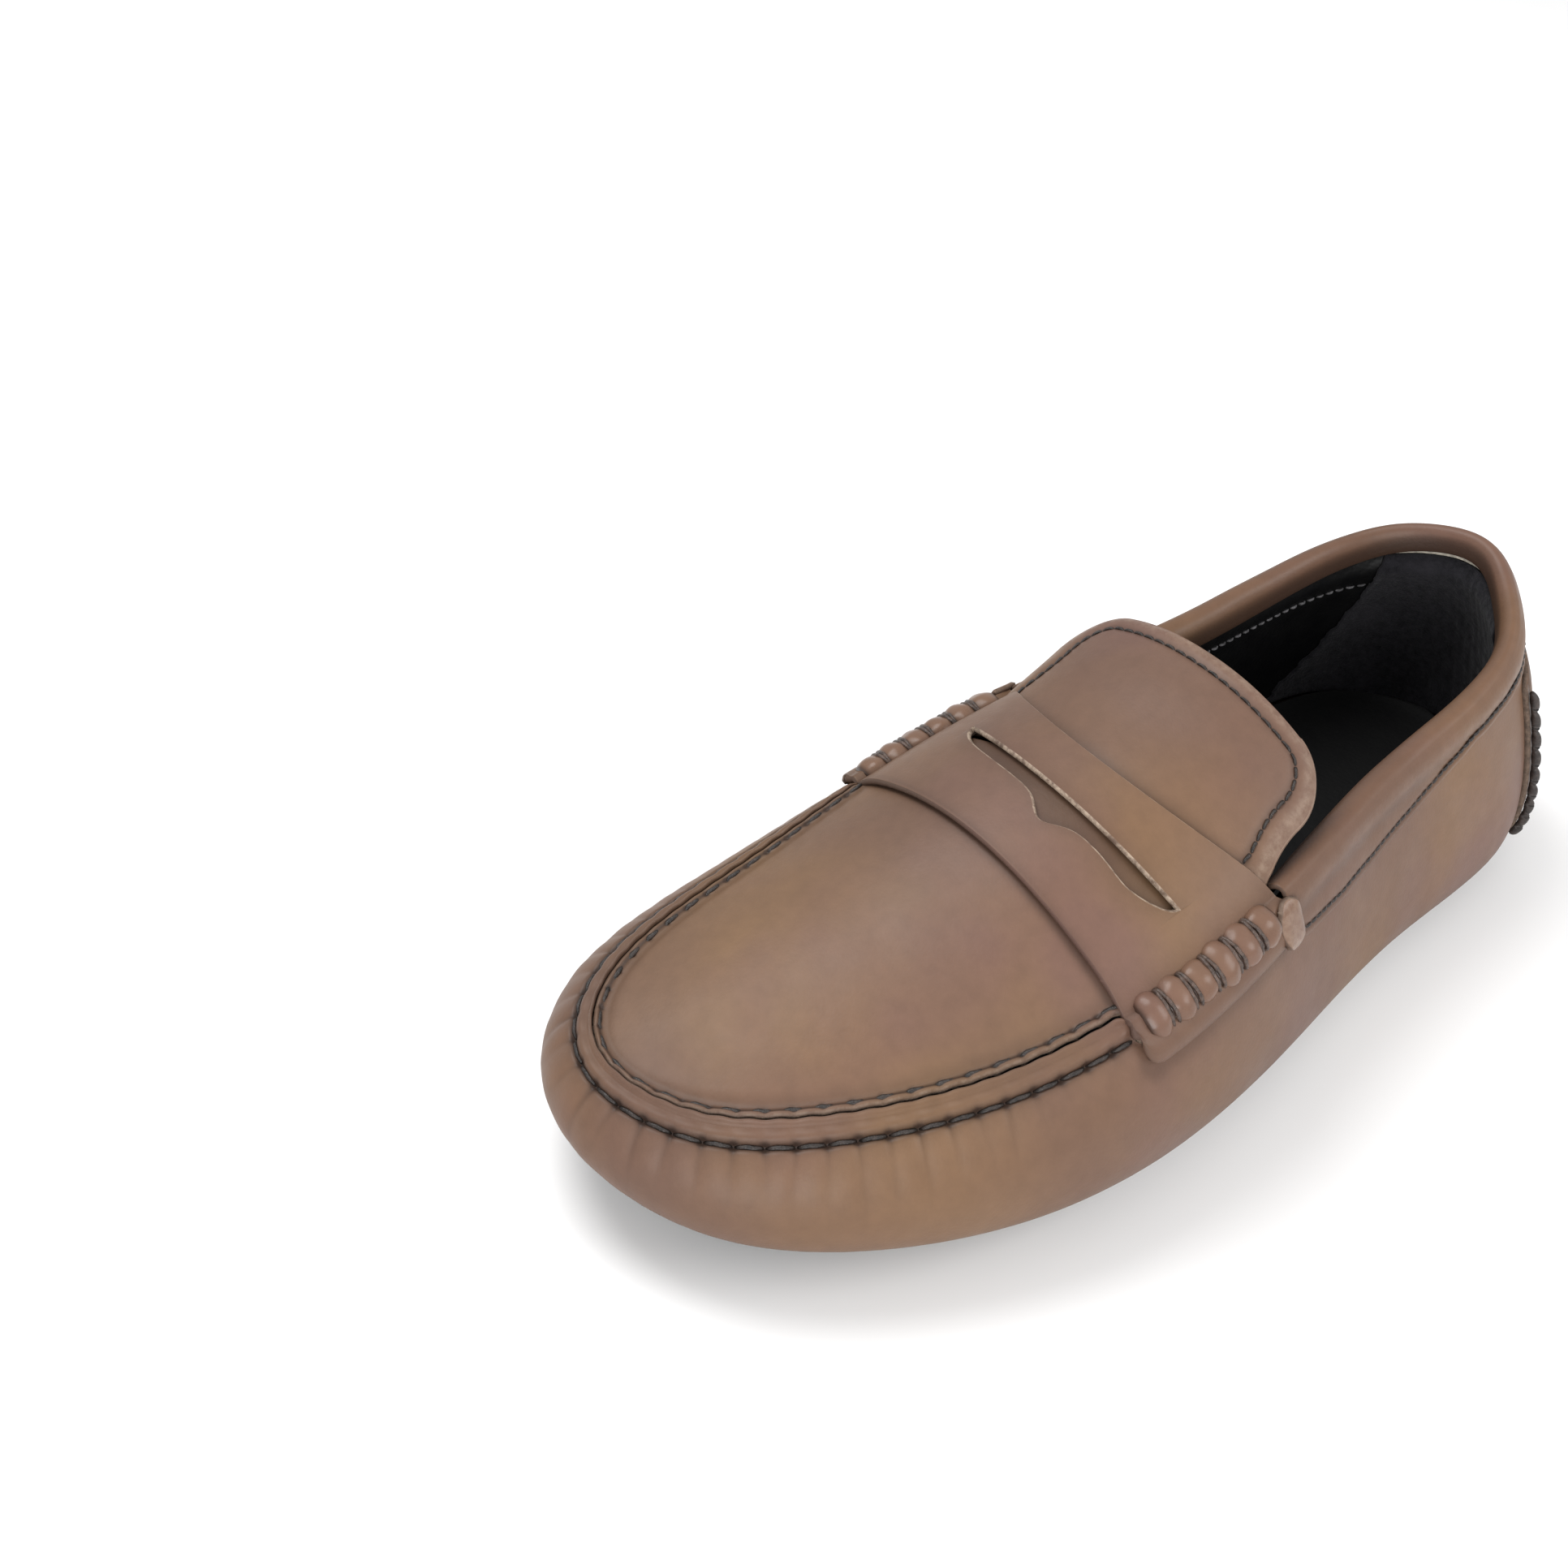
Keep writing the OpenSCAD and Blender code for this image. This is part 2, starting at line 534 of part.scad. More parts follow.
quarters();
vamp();
apron_plug();
saddle_strap();
beef_roll_lateral();
beef_roll_medial();
roll_thread_lateral();
roll_thread_medial();
seam_thread_outer();
seam_thread_inner();
tongue();
tongue_lining();
tongue_thread();
collar();
collar_foam();
collar_thread();
heel_patch();
heel_patch_thread();
heel_counter();
heel_grip();
quarter_lining();
lining_thread();
toe_lining();
insole_board();
insole_foam();
sock_liner();
toe_bumper();
toe_pods();
ball_pods();
heel_pods();
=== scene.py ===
"""Looks of the left driving moccasin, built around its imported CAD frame.

Lengths inside the script are in millimetres of the CAD frame, and piece() turns them into metres. A place on
the shoe is a ring position u (0 at the back of the heel, TIP at the toe, the outer side between them and the
inner side beyond), and either a height v on the wall (0 at the underside, 1 at the top edge) or an inset from
the top edge.
"""
import math

import bpy
import numpy as np
from mathutils import Matrix, Vector


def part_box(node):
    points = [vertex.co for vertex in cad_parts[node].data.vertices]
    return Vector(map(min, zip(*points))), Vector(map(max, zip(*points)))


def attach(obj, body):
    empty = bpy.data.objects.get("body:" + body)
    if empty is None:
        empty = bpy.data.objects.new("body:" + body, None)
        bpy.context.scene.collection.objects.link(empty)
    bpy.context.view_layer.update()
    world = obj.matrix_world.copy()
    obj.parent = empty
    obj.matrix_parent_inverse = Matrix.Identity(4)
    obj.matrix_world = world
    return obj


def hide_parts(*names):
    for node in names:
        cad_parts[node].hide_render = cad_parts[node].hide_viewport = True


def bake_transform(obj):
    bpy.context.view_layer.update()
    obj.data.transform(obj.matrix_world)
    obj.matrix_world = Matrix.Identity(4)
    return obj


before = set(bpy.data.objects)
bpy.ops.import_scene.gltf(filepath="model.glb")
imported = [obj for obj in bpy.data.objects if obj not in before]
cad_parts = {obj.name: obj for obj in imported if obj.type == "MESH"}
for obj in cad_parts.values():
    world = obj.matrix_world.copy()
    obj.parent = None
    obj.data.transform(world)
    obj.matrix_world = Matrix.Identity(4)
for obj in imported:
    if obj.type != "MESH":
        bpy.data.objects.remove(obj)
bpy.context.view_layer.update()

rng = np.random.default_rng(7)

# ---- driving sizes ----

DESIGN_SPAN = 289.0            # quarters' back to vamp's front when the shoe is at its design size
SPAN = (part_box("vamp")[1].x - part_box("quarters")[0].x) * 1000
SIZE = SPAN / DESIGN_SPAN      # 1 unless the CAD is rebuilt at another size
LENGTH, WIDTH, HEIGHT, HEEL_SEAT = 290.0, 104.0, 75.0, 36.0
LEATHER, LINING = 1.6, 0.8
STITCH = 6.2                   # pitch of the hand-sewn seam

# A copy of part.scad's stations, which come from a least-squares fit to the photo: length share, outer and
# inner half width share, top height share, crown, underside and lean
STATIONS = np.array([
    [0.000, 0.000, 0.000, 0.967, 0.0, 8.0, 6.0],
    [0.031, 0.205, -0.232, 0.913, 0.0, 6.6, 8.5],
    [0.124, 0.355, -0.352, 0.833, 10.0, 6.0, 9.0],
    [0.297, 0.402, -0.360, 0.753, 20.0, 6.0, 7.0],
    [0.469, 0.492, -0.394, 0.720, 17.5, 6.0, 7.5],
    [0.624, 0.545, -0.443, 0.627, 16.0, 6.0, 10.5],
    [0.762, 0.497, -0.455, 0.523, 12.0, 6.5, 12.5],
    [0.883, 0.367, -0.421, 0.470, 7.0, 8.0, 12.5],
    [0.966, 0.180, -0.300, 0.447, 2.0, 10.4, 11.0],
    [1.000, -0.078, -0.078, 0.447, 0.0, 12.0, 9.5]])
TIP = len(STATIONS) - 1
TURN = 2 * TIP
# The wall's section in front and at the heel, as in part.scad: how far its underside lies inside the widest
# line, and how far its two middle points lie inside it
BOTTOM_INSET = (16.0, 8.0)
LOW_INSET = (-3.0, -6.0)
HIGH_INSET = (-3.0, 4.0)
LEAN_SHARE = 0.12                # of the lean, by which the upper middle point moves out in front
FOOT_DIP, RISE_SHARE = 0.5, 0.72 # those points' heights: below the underside, and as a share of the rise

STRAP_FRONT, STRAP_REAR, STRAP_BOW, FRONT_BOW = 5.18, 4.08, 0.36, 0.06
PLUG_REAR, TONGUE_FRONT = 4.60, 4.56
COLLAR_FRONT = 3.98


def ring_rows():
    outer = STATIONS[:, [0, 1, 3, 4, 5, 6]]
    inner = STATIONS[TIP - 1:0:-1][:, [0, 2, 3, 4, 5, 6]]
    rows = np.vstack([outer, inner])
    return rows * [LENGTH, WIDTH, HEIGHT, 1, 1, 1] - [HEEL_SEAT, 0, 0, 0, 0, 0]


RING = ring_rows()


def closed_bend(values):
    """Second derivatives of the smooth closed curve through one row of values a ring position."""
    n = len(values)
    system = 4 * np.eye(n) + np.roll(np.eye(n), 1, 0) + np.roll(np.eye(n), -1, 0)
    return np.linalg.solve(system, 6 * (np.roll(values, -1, 0) - 2 * values + np.roll(values, 1, 0)))


RING_BEND = closed_bend(RING)


def station(u):
    """x, half width, top height, crown, underside height and lean at ring positions u."""
    u = np.asarray(u, float)
    i = np.floor(u).astype(int)
    t = (u - i)[..., None]
    a, b = i % TURN, (i + 1) % TURN
    return (RING[a] * (1 - t) + RING[b] * t
            + ((1 - t) ** 3 - (1 - t)) * RING_BEND[a] / 6 + (t ** 3 - t) * RING_BEND[b] / 6)


def unit(vectors):
    return vectors / np.maximum(np.linalg.norm(vectors, axis=-1, keepdims=True), 1e-12)


def inward(u):
    """Level directions, square to the ring, that point into the shoe."""
    d = station(np.asarray(u) + 1e-3)[..., :2] - station(np.asarray(u) - 1e-3)[..., :2]
    return unit(np.stack([d[..., 1], -d[..., 0]], -1))


def from_heel(u):
    """How far ring positions lie from the back of the heel, the shorter way round."""
    u = np.mod(u, TURN)
    return np.minimum(u, TURN - u)


def heel_share(u):
    """How much of the heel's shape the wall has: fuller below and steeper above."""
    return 1 - smooth(3.0, 5.5, from_heel(u))


def numbers(*values):
    """Arrays of one common shape."""
    return np.broadcast_arrays(*[np.asarray(a, float) for a in values])


def wall(u, v, d=0.0, lift=0.0):
    """Points of the wall at depth d into the shoe, raised by lift."""
    u, v, d, lift = numbers(u, v, d, lift)
    s, n, heel = station(u), inward(u), heel_share(u)
    under, lean = s[..., 4], s[..., 5]
    front = (BOTTOM_INSET[0], LOW_INSET[0], HIGH_INSET[0] - LEAN_SHARE * lean)
    back = (BOTTOM_INSET[1], LOW_INSET[1], HIGH_INSET[1])
    inset = [a * (1 - heel) + b * heel for a, b in zip(front, back)] + [lean]
    height = [under, under - FOOT_DIP, under + RISE_SHARE * (s[..., 2] - under), s[..., 2]]
    weights = [(1 - v) ** 3, 3 * (1 - v) ** 2 * v, 3 * (1 - v) * v ** 2, v ** 3]
    slopes = [-3 * (1 - v) ** 2, 3 * (1 - v) ** 2 - 6 * (1 - v) * v, 6 * (1 - v) * v - 3 * v ** 2, 3 * v ** 2]
    e, z = [sum(w * p for w, p in zip(weights, row)) for row in (inset, height)]
    te, tz = [sum(w * p for w, p in zip(slopes, row)) for row in (inset, height)]
    size = np.hypot(te, tz)
    e, z = e + d * tz / size, z - d * te / size
    return np.stack([s[..., 0] + n[..., 0] * e, s[..., 1] + n[..., 1] * e, z + lift], -1)


def rim(u, inset, lift=0.0):
    """Points level with the top edge, moved flat into the shoe by inset and up by lift."""
    u, inset, lift = numbers(u, inset, lift)
    s, n = station(u), inward(u)
    e = s[..., 5] + inset
    return np.stack([s[..., 0] + n[..., 0] * e, s[..., 1] + n[..., 1] * e, s[..., 2] + lift], -1)


HALF_RING = np.linspace(0, TIP, 721)
EDGE_OUT, EDGE_IN = rim(HALF_RING, 0), rim(-HALF_RING, 0)
EDGE_CROWN = station(HALF_RING)[:, 3]


def crown_height(x, y):
    """Height of the top between the two seams, which arches over them."""
    outer_y, inner_y, z, crown = [np.interp(x, EDGE_OUT[:, 0], line)
                                  for line in (EDGE_OUT[:, 1], EDGE_IN[:, 1], EDGE_OUT[:, 2], EDGE_CROWN)]
    s = (y - inner_y) / np.maximum(outer_y - inner_y, 1e-6)
    return z + crown * np.maximum(4 * s * (1 - s), -0.3)


def smooth(a, b, x):
    t = np.clip((np.asarray(x, float) - a) / (b - a), 0, 1)
    return t * t * (3 - 2 * t)


def bell(x, width):
    return np.exp(-(np.asarray(x, float) / width) ** 2)


def arc_length(points):
    return np.concatenate([[0], np.cumsum(np.linalg.norm(np.diff(points, axis=0), axis=1))])


def run_down(points):
    """How far each point of a row lies from the row's last point, along the row."""
    step = np.linalg.norm(np.diff(points, axis=1), axis=2)
    return np.concatenate([np.cumsum(step[:, ::-1], 1)[:, ::-1], np.zeros((len(points), 1))], 1)


def ease(low, high, count):
    """Numbers from low to high that lie closer towards both."""
    return low + (high - low) * (np.sin(np.linspace(-1, 1, count) * math.pi / 2) / 2 + 0.5)


# ---- meshes ----

def grid_faces(rows, cols, closed=False, start=0):
    i = np.arange(rows if closed else rows - 1)[:, None]
    j = np.arange(cols - 1)[None, :]
    k = (i + 1) % rows
    corners = [i * cols + j, i * cols + j + 1, k * cols + j + 1, k * cols + j]
    return np.stack(corners, -1).reshape(-1, 4) + start


def rod_faces(rows, cols):
    """Faces of a rod of rows of cols points, which two more points close at its first and last row."""
    i, j = np.meshgrid(np.arange(rows - 1), np.arange(cols), indexing="ij")
    k = (j + 1) % cols
    skin = np.stack([i * cols + j, i * cols + k, (i + 1) * cols + k, (i + 1) * cols + j], -1).reshape(-1, 4)
    j, k = j[0], k[0]
    first, last, end = np.full(cols, rows * cols), np.full(cols, rows * cols + 1), (rows - 1) * cols
    return np.vstack([skin, np.stack([first, k, j, first], -1), np.stack([last, end + j, end + k, last], -1)])


def face_normals(points, faces):
    return np.cross(points[faces[:, 2]] - points[faces[:, 0]], points[faces[:, 3]] - points[faces[:, 1]])


def point_normals(points, faces):
    n = np.zeros_like(points)
    f = face_normals(points, faces)
    for k in range(4):
        np.add.at(n, faces[:, k], f)
    return unit(n)


def thicken(points, faces, thickness, rounding, hint):
    """A closed sheet: the points as its outer face, thickness behind them, and a rounded edge.

    hint(points) gives vectors that lean outwards. What comes back is the points, the faces, the faces' kinds
    (0 outer, 1 edge, 2 inner) and each point's source in the sheet.
    """
    points = np.asarray(points, float).reshape(-1, 3)
    n = point_normals(points, faces)
    if (n * hint(points)).sum() < 0:
        faces, n = faces[:, ::-1], -n
    count = len(points)
    inner = points - n * thickness
    edges = np.concatenate([faces[:, [k, (k + 1) % 4]] for k in range(4)])
    key = np.sort(edges, 1)
    _, index, times = np.unique(key, axis=0, return_index=True, return_counts=True)
    border = edges[index[times == 1]]
    border = border[border[:, 0] != border[:, 1]]
    used = np.unique(border)
    place = {p: k for k, p in enumerate(used)}
    away = np.zeros((len(used), 3))
    for a, b in border:
        side = np.cross(points[b] - points[a], n[a] + n[b])
        away[place[a]] += side
        away[place[b]] += side
    middle = (points[used] + inner[used]) / 2 + unit(away) * thickness * rounding
    rims = []
    for a, b in border:
        ma, mb = 2 * count + place[a], 2 * count + place[b]
        rims += [[b, a, ma, mb], [mb, ma, count + a, count + b]]
    everything = np.vstack([faces, np.array(rims, int).reshape(-1, 4), faces[:, ::-1] + count])
    kinds = np.repeat([0, 1, 2], [len(faces), len(rims), len(faces)])
    source = np.concatenate([np.arange(count), np.arange(count), used])
    return np.vstack([points, inner, middle]), everything, kinds, source


def piece(name, points, faces, materials, kinds=None, values=None, bends=None, stands_for=(), slot=None):
    """One closed object from points in millimetres. values holds numbers per point for its material."""
    mesh = bpy.data.meshes.new(name)
    points = np.asarray(points, float).reshape(-1, 3) * (0.001 * SIZE)
    if (face_normals(points, faces) * points[faces[:, 0]]).sum() < 0:
        faces = faces[:, ::-1]
    mesh.from_pydata(points.tolist(), [], [list(dict.fromkeys(f)) for f in faces.tolist()])
    mesh.validate()
    for m in materials:
        mesh.materials.append(m)
    if kinds is not None and len(kinds) == len(mesh.polygons):
        mesh.polygons.foreach_set("material_index", np.minimum(kinds, len(materials) - 1).astype(np.int32))
    for key, value in (values or {}).items():
        attribute = mesh.attributes.new(key, "FLOAT", "POINT")
        attribute.data.foreach_set("value", np.broadcast_to(value, len(points)).astype(np.float32))
    mesh.polygons.foreach_set("use_smooth", np.full(len(mesh.polygons), True))
    mesh.update()
    made = bpy.data.objects.new(name, mesh)
    bpy.context.scene.collection.objects.link(made)
    if bends:
        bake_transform(made)
    else:
        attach(made, "upper")
    if stands_for:
        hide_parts(*stands_for)


def weld(points, faces):
    """Merges points that lie in the same place and drops the faces that vanish."""
    _, first, back = np.unique(np.round(points, 3), axis=0, return_index=True, return_inverse=True)
    order = np.sort(first)
    faces = np.searchsorted(order, first[back.reshape(-1)])[faces]
    ordered = np.sort(faces, 1)
    kept = (np.diff(ordered, axis=1) > 0).sum(1) >= 2
    return points[order], faces[kept], order


def sheet(name, points, faces, thickness, materials, hint, rounding=0.3, values=None, **how):
    """A piece of sheet material whose outer face goes through the points."""
    points, faces, order = weld(points.reshape(-1, 3), faces)
    points, faces, kinds, source = thicken(points, faces, thickness, rounding, hint)
    values = {k: np.reshape(v, -1)[order][source] if np.size(v) > 1 else v for k, v in (values or {}).items()}
    piece(name, points, faces, materials, kinds, values, **how)


def tube(path, radius, sides=10, ply=0.0, twist=0.0, up=(0, 0, 1)):
    """Points and faces of a round rod along a path with domed ends.

    ply gives it the lobes of twisted strands.
    """
    path = np.asarray(path, float)
    radius = np.broadcast_to(radius, len(path)).astype(float)
    along = unit(np.gradient(path, axis=0))
    side = unit(np.cross(along, np.asarray(up, float)))
    upright = np.cross(side, along)
    a, run = np.meshgrid(np.arange(sides) * 2 * math.pi / sides, arc_length(path))
    r = (radius[:, None] * (1 + ply * np.cos(2 * (a - twist * run))))[..., None]
    sideward, upward = np.cos(a)[..., None] * side[:, None], np.sin(a)[..., None] * upright[:, None]
    ring = path[:, None] + r * (sideward + upward)
    domes = [path[0] - along[0] * radius[0] * 0.5, path[-1] + along[-1] * radius[-1] * 0.5]
    return np.vstack([ring.reshape(-1, 3), *domes]), rod_faces(len(path), sides)


def join(parts):
    """Points and faces of several shapes as one."""
    points, faces, start = [], [], 0
    for p, f in parts:
        points.append(p)
        faces.append(f + start)
        start += len(p)
    return np.vstack(points), np.vstack(faces)


def stitch_run(curve, pitch, radius, sink, gap=0.12, normal=(0, 0, 1), steps=9):
    """Separate stitches along a curve: each dives into its hole at both ends.

    normal points out of the leather, for every curve point or for all of them.
    """
    normal = np.broadcast_to(np.asarray(normal, float), curve.shape)
    run = arc_length(curve)
    count = max(1, int(round(run[-1] / pitch)))
    t = np.linspace(0, 1, steps)
    dive = np.abs(2 * t - 1) ** 3.5
    parts = []
    for k in range(count):
        at = (k + gap / 2 + t * (1 - gap)) * (run[-1] / count)
        p, n = [np.stack([np.interp(at, run, line[:, c]) for c in range(3)], -1) for line in (curve, normal)]
        path = p - n * (dive * sink)[:, None]
        parts.append(tube(path, radius * (1 - 0.25 * dive), sides=8, ply=0.16, twist=1.1, up=n.mean(0)))
    return join(parts)


# ---- materials ----

class Nodes:
    """Builds a node material in few lines."""

    def __init__(self, name):
        self.material = bpy.data.materials.new(name)
        self.material.use_nodes = True
        self.tree = self.material.node_tree
        self.shader = self.tree.nodes["Principled BSDF"]
        self.place = self.add("ShaderNodeTexCoord").outputs["Object"]

    def add(self, kind, **settings):
        made = self.tree.nodes.new(kind)
        for key, value in settings.items():
            setattr(made, key, value)
        return made

    def link(self, value, socket):
        if isinstance(value, bpy.types.NodeSocket):
            self.tree.links.new(value, socket)
        else:
            socket.default_value = value

    def noise(self, scale, detail=3.0, rough=0.5):
        made = self.add("ShaderNodeTexNoise")
        self.link(self.place, made.inputs["Vector"])
        made.inputs["Scale"].default_value = scale
        made.inputs["Detail"].default_value = detail
        made.inputs["Roughness"].default_value = rough
        return made.outputs["Fac"]

    def cells(self, scale, feature="F1"):
        made = self.add("ShaderNodeTexVoronoi", feature=feature)
        self.link(self.place, made.inputs["Vector"])
        made.inputs["Scale"].default_value = scale
        return made.outputs["Distance"]

    def math(self, kind, a, b=0.0):
        made = self.add("ShaderNodeMath", operation=kind)
        self.link(a, made.inputs[0])
        self.link(b, made.inputs[1])
        return made.outputs[0]

    def spread(self, value, low, high, to_low=0.0, to_high=1.0):
        made = self.add("ShaderNodeMapRange")
        self.link(value, made.inputs["Value"])
        for key, number in zip(("From Min", "From Max", "To Min", "To Max"), (low, high, to_low, to_high)):
            made.inputs[key].default_value = number
        return made.outputs["Result"]

    def mix(self, share, a, b):
        made = self.add("ShaderNodeMix", data_type="RGBA")
        self.link(share, made.inputs["Factor"])
        for socket, colour in zip([s for s in made.inputs if s.type == "RGBA"], (a, b)):
            self.link(colour if isinstance(colour, bpy.types.NodeSocket) else (*colour, 1), socket)
        return [s for s in made.outputs if s.type == "RGBA"][0]

    def value(self, key):
        return self.add("ShaderNodeAttribute", attribute_name=key).outputs["Fac"]

    def bump(self, height, strength, distance, before=None):
        made = self.add("ShaderNodeBump")
        self.link(height, made.inputs["Height"])
        made.inputs["Strength"].default_value = strength
        made.inputs["Distance"].default_value = distance
        if before is not None:
            self.link(before, made.inputs["Normal"])
        return made.outputs["Normal"]

    def stain(self, scale, detail, rough, low, high, most, before, colour):
        """Cloudy patches of a colour over the one before, at most as strong as most."""
        share = self.math("MULTIPLY", self.spread(self.noise(scale, detail, rough), low, high), most)
        return self.mix(share, before, colour)

    def finish(self, colour, rough, normal, **more):
        self.link(colour, self.shader.inputs["Base Color"])
        self.link(rough, self.shader.inputs["Roughness"])
        self.link(normal, self.shader.inputs["Normal"])
        for key, value in more.items():
            self.link(value, self.shader.inputs[key.replace("_", " ")])
        return self.material


BROWN, WARM, DARK = (0.123, 0.069, 0.047), (0.155, 0.087, 0.047), (0.020, 0.011, 0.008)
MAUVE, PALE = (0.130, 0.070, 0.058), (0.480, 0.380, 0.290)


def brown_leather(name, base=BROWN, warm=WARM, gloss=0.50, grain=1.0):
    """Smooth calf: warm patches, painted shade where the point value shade says, a fine pebble grain."""
    n = Nodes(name)
    patches = n.spread(n.noise(16, 2.0, 0.45), 0.40, 0.66)
    colour = n.mix(patches, base, warm)
    colour = n.stain(23, 2.0, 0.5, 0.45, 0.7, 0.7, colour, MAUVE)
    colour = n.stain(260, 4.0, 0.6, 0.35, 0.75, 0.14, colour, DARK)
    # painted shade: the point value shade darkens the colour towards DARK
    colour = n.mix(n.math("MULTIPLY", n.value("shade"), 0.9), colour, DARK)
    broken = n.spread(n.noise(420, 4.0, 0.7), 0.40, 0.62, 0.15, 1.0)
    colour = n.mix(n.math("MULTIPLY", n.value("fibre"), broken), colour, PALE)
    pebble = n.bump(n.cells(1500, "SMOOTH_F1"), 0.10 * grain, 0.0003)
    fine = n.bump(n.noise(2600, 3.0, 0.6), 0.10 * grain, 0.0002, pebble)
    creases = n.bump(n.noise(90, 5.0, 0.6), 0.10, 0.0012, fine)
    rough = n.spread(n.noise(60, 4.0, 0.6), 0.3, 0.7, gloss - 0.05, gloss + 0.07)
    return n.finish(colour, rough, creases, Specular_IOR_Level=0.24, Coat_Weight=0.03, Coat_Roughness=0.3)


def raw_edge(name, colour, dark):
    """Cut leather: light fibres with darker ones between them."""
    n = Nodes(name)
    tone = n.mix(n.spread(n.noise(700, 4.0, 0.7), 0.35, 0.62), dark, colour)
    return n.finish(tone, 0.85, n.bump(n.noise(2400, 4.0, 0.7), 0.8, 0.0005))


def black_leather(name, tone=0.012, rough=0.5):
    n = Nodes(name)
    colour = n.mix(n.spread(n.noise(180, 4.0), 0.3, 0.7), (tone, tone, tone * 1.2), (tone * 2.1,) * 3)
    grain = n.bump(n.cells(900, "SMOOTH_F1"), 0.25, 0.0004)
    return n.finish(colour, rough, n.bump(n.noise(140, 4.0), 0.2, 0.001, grain), Specular_IOR_Level=0.22)


def suede(name):
    n = Nodes(name)
    nap = n.noise(420, 6.0, 0.75)
    colour = n.mix(n.spread(nap, 0.3, 0.7), (0.003, 0.003, 0.004), (0.021, 0.020, 0.024))
    colour = n.stain(45, 4.0, 0.6, 0.45, 0.7, 0.5, colour, (0.028, 0.026, 0.031))
    return n.finish(colour, 0.95, n.bump(nap, 0.9, 0.0008), Specular_IOR_Level=0.12, Sheen_Weight=0.08,
                    Sheen_Roughness=0.5)


def thread(name, colour, rough=0.5):
    n = Nodes(name)
    dark, light = [tuple(c * share for c in colour) for share in (0.5, 1.6)]
    tone = n.mix(n.spread(n.noise(900, 3.0), 0.35, 0.7), dark, light)
    return n.finish(tone, rough, n.bump(n.noise(3000, 3.0, 0.6), 0.5, 0.0003), Specular_IOR_Level=0.4)


def rubber(name):
    n = Nodes(name)
    colour = n.mix(n.spread(n.noise(120, 4.0), 0.3, 0.7), (0.006, 0.006, 0.007), (0.014, 0.014, 0.015))
    rough = n.spread(n.noise(200, 3.0), 0.3, 0.7, 0.45, 0.62)
    return n.finish(colour, rough, n.bump(n.noise(1600, 3.0), 0.15, 0.0002), Specular_IOR_Level=0.4)


def foam(name, colour):
    n = Nodes(name)
    pores = n.cells(700)
    # the pores are painted darker: painted shade in their hollows
    tone = n.mix(n.spread(pores, 0.0, 0.6), tuple(c * 0.6 for c in colour), colour)
    return n.finish(tone, 0.95, n.bump(pores, 0.7, 0.0005))


LEATHER_MAIN = brown_leather("brown_leather")
LEATHER_COLLAR = brown_leather("collar_leather", (0.112, 0.060, 0.038), (0.144, 0.078, 0.041), 0.46)
LEATHER_PLUG = brown_leather("plug_leather", (0.124, 0.070, 0.046), (0.160, 0.091, 0.048))
LEATHER_BEAD = brown_leather("bead_leather", (0.130, 0.072, 0.048), (0.165, 0.096, 0.062), 0.27, 0.5)
EDGE = brown_leather("cut_edge", (0.075, 0.045, 0.032), (0.10, 0.06, 0.04), 0.7)
EDGE_TONGUE = brown_leather("tongue_edge", (0.19, 0.12, 0.085), (0.22, 0.14, 0.095), 0.5)
CORD = thread("patch_cord", (0.030, 0.022, 0.019), 0.45)
EDGE_DARK = raw_edge("browned_edge", (0.15, 0.10, 0.07), (0.06, 0.040, 0.028))
FLESH = raw_edge("flesh_side", (0.20, 0.14, 0.10), (0.11, 0.075, 0.05))
BLACK = black_leather("black_leather", 0.0022)
BLACK_SOCK = black_leather("sock_leather", 0.0012, 0.75)
SUEDE = suede("suede")
WAXED = thread("waxed_thread", (0.016, 0.011, 0.009), 0.38)
WRAP = thread("wrap_thread", (0.060, 0.038, 0.029), 0.34)
GREY = thread("grey_thread", (0.075, 0.072, 0.076), 0.7)
RUBBER = rubber("rubber")
FOAM = foam("foam", (0.55, 0.50, 0.42))
BOARD = foam("fibre_board", (0.42, 0.33, 0.22))


AXIS_Y, TOE_ROUND_X = 2.0, 190.0     # the shoe's long axis, and where the wall starts to turn round the toe


def sideways(points):
    """Directions away from the shoe's long axis, for a wall's outside."""
    out = points - np.array([0, AXIS_Y, 0])
    out[:, 0] = np.where(points[:, 0] < 0, points[:, 0], np.maximum(points[:, 0] - TOE_ROUND_X, 0))
    out[:, 2] = 0
    return out


def upwards(points):
    return np.tile([0.0, 0.0, 1.0], (len(points), 1))


# ---- the hand-sewn ridge ----

RIDGE_OUT, RIDGE_IN = 3.4, 1.25    # the stitch lines' distances from the top edge and from the apron's edge
RIDGE_RISE = 1.25
APRON_EDGE = 1.25                  # how far the apron's edge lies inside the top edge


def ridge_share(u):
    """1 along the sewn ridge round the toe, 0 under and behind the strap."""
    return smooth(STRAP_FRONT - 0.03, STRAP_FRONT + 0.07, from_heel(u))


SEAM_U = np.linspace(STRAP_FRONT - 0.02, TURN - STRAP_FRONT + 0.02, 1200)


def height_at_drop(u, drop):
    """The wall height v whose point lies drop below the top edge along the leather."""
    v = np.linspace(0.6, 1, 60)
    return np.array([np.interp(-drop, -below, v) for below in run_down(wall(u[:, None], v))])


SEAM_V = height_at_drop(SEAM_U, RIDGE_OUT)
SEAM_RUN = arc_length(wall(SEAM_U, SEAM_V))
SEAM_COUNT = int(round(SEAM_RUN[-1] / STITCH))
SEAM_PITCH = SEAM_RUN[-1] / SEAM_COUNT
# each stitch draws up its own pucker of the wall below it
PUCKER_DEPTH = rng.uniform(0.35, 1.0, SEAM_COUNT + 2)
PUCKER_REACH = rng.uniform(3.5, 8.0, SEAM_COUNT + 2)
PUCKER_LEAN = rng.uniform(-0.12, 0.12, SEAM_COUNT + 2)


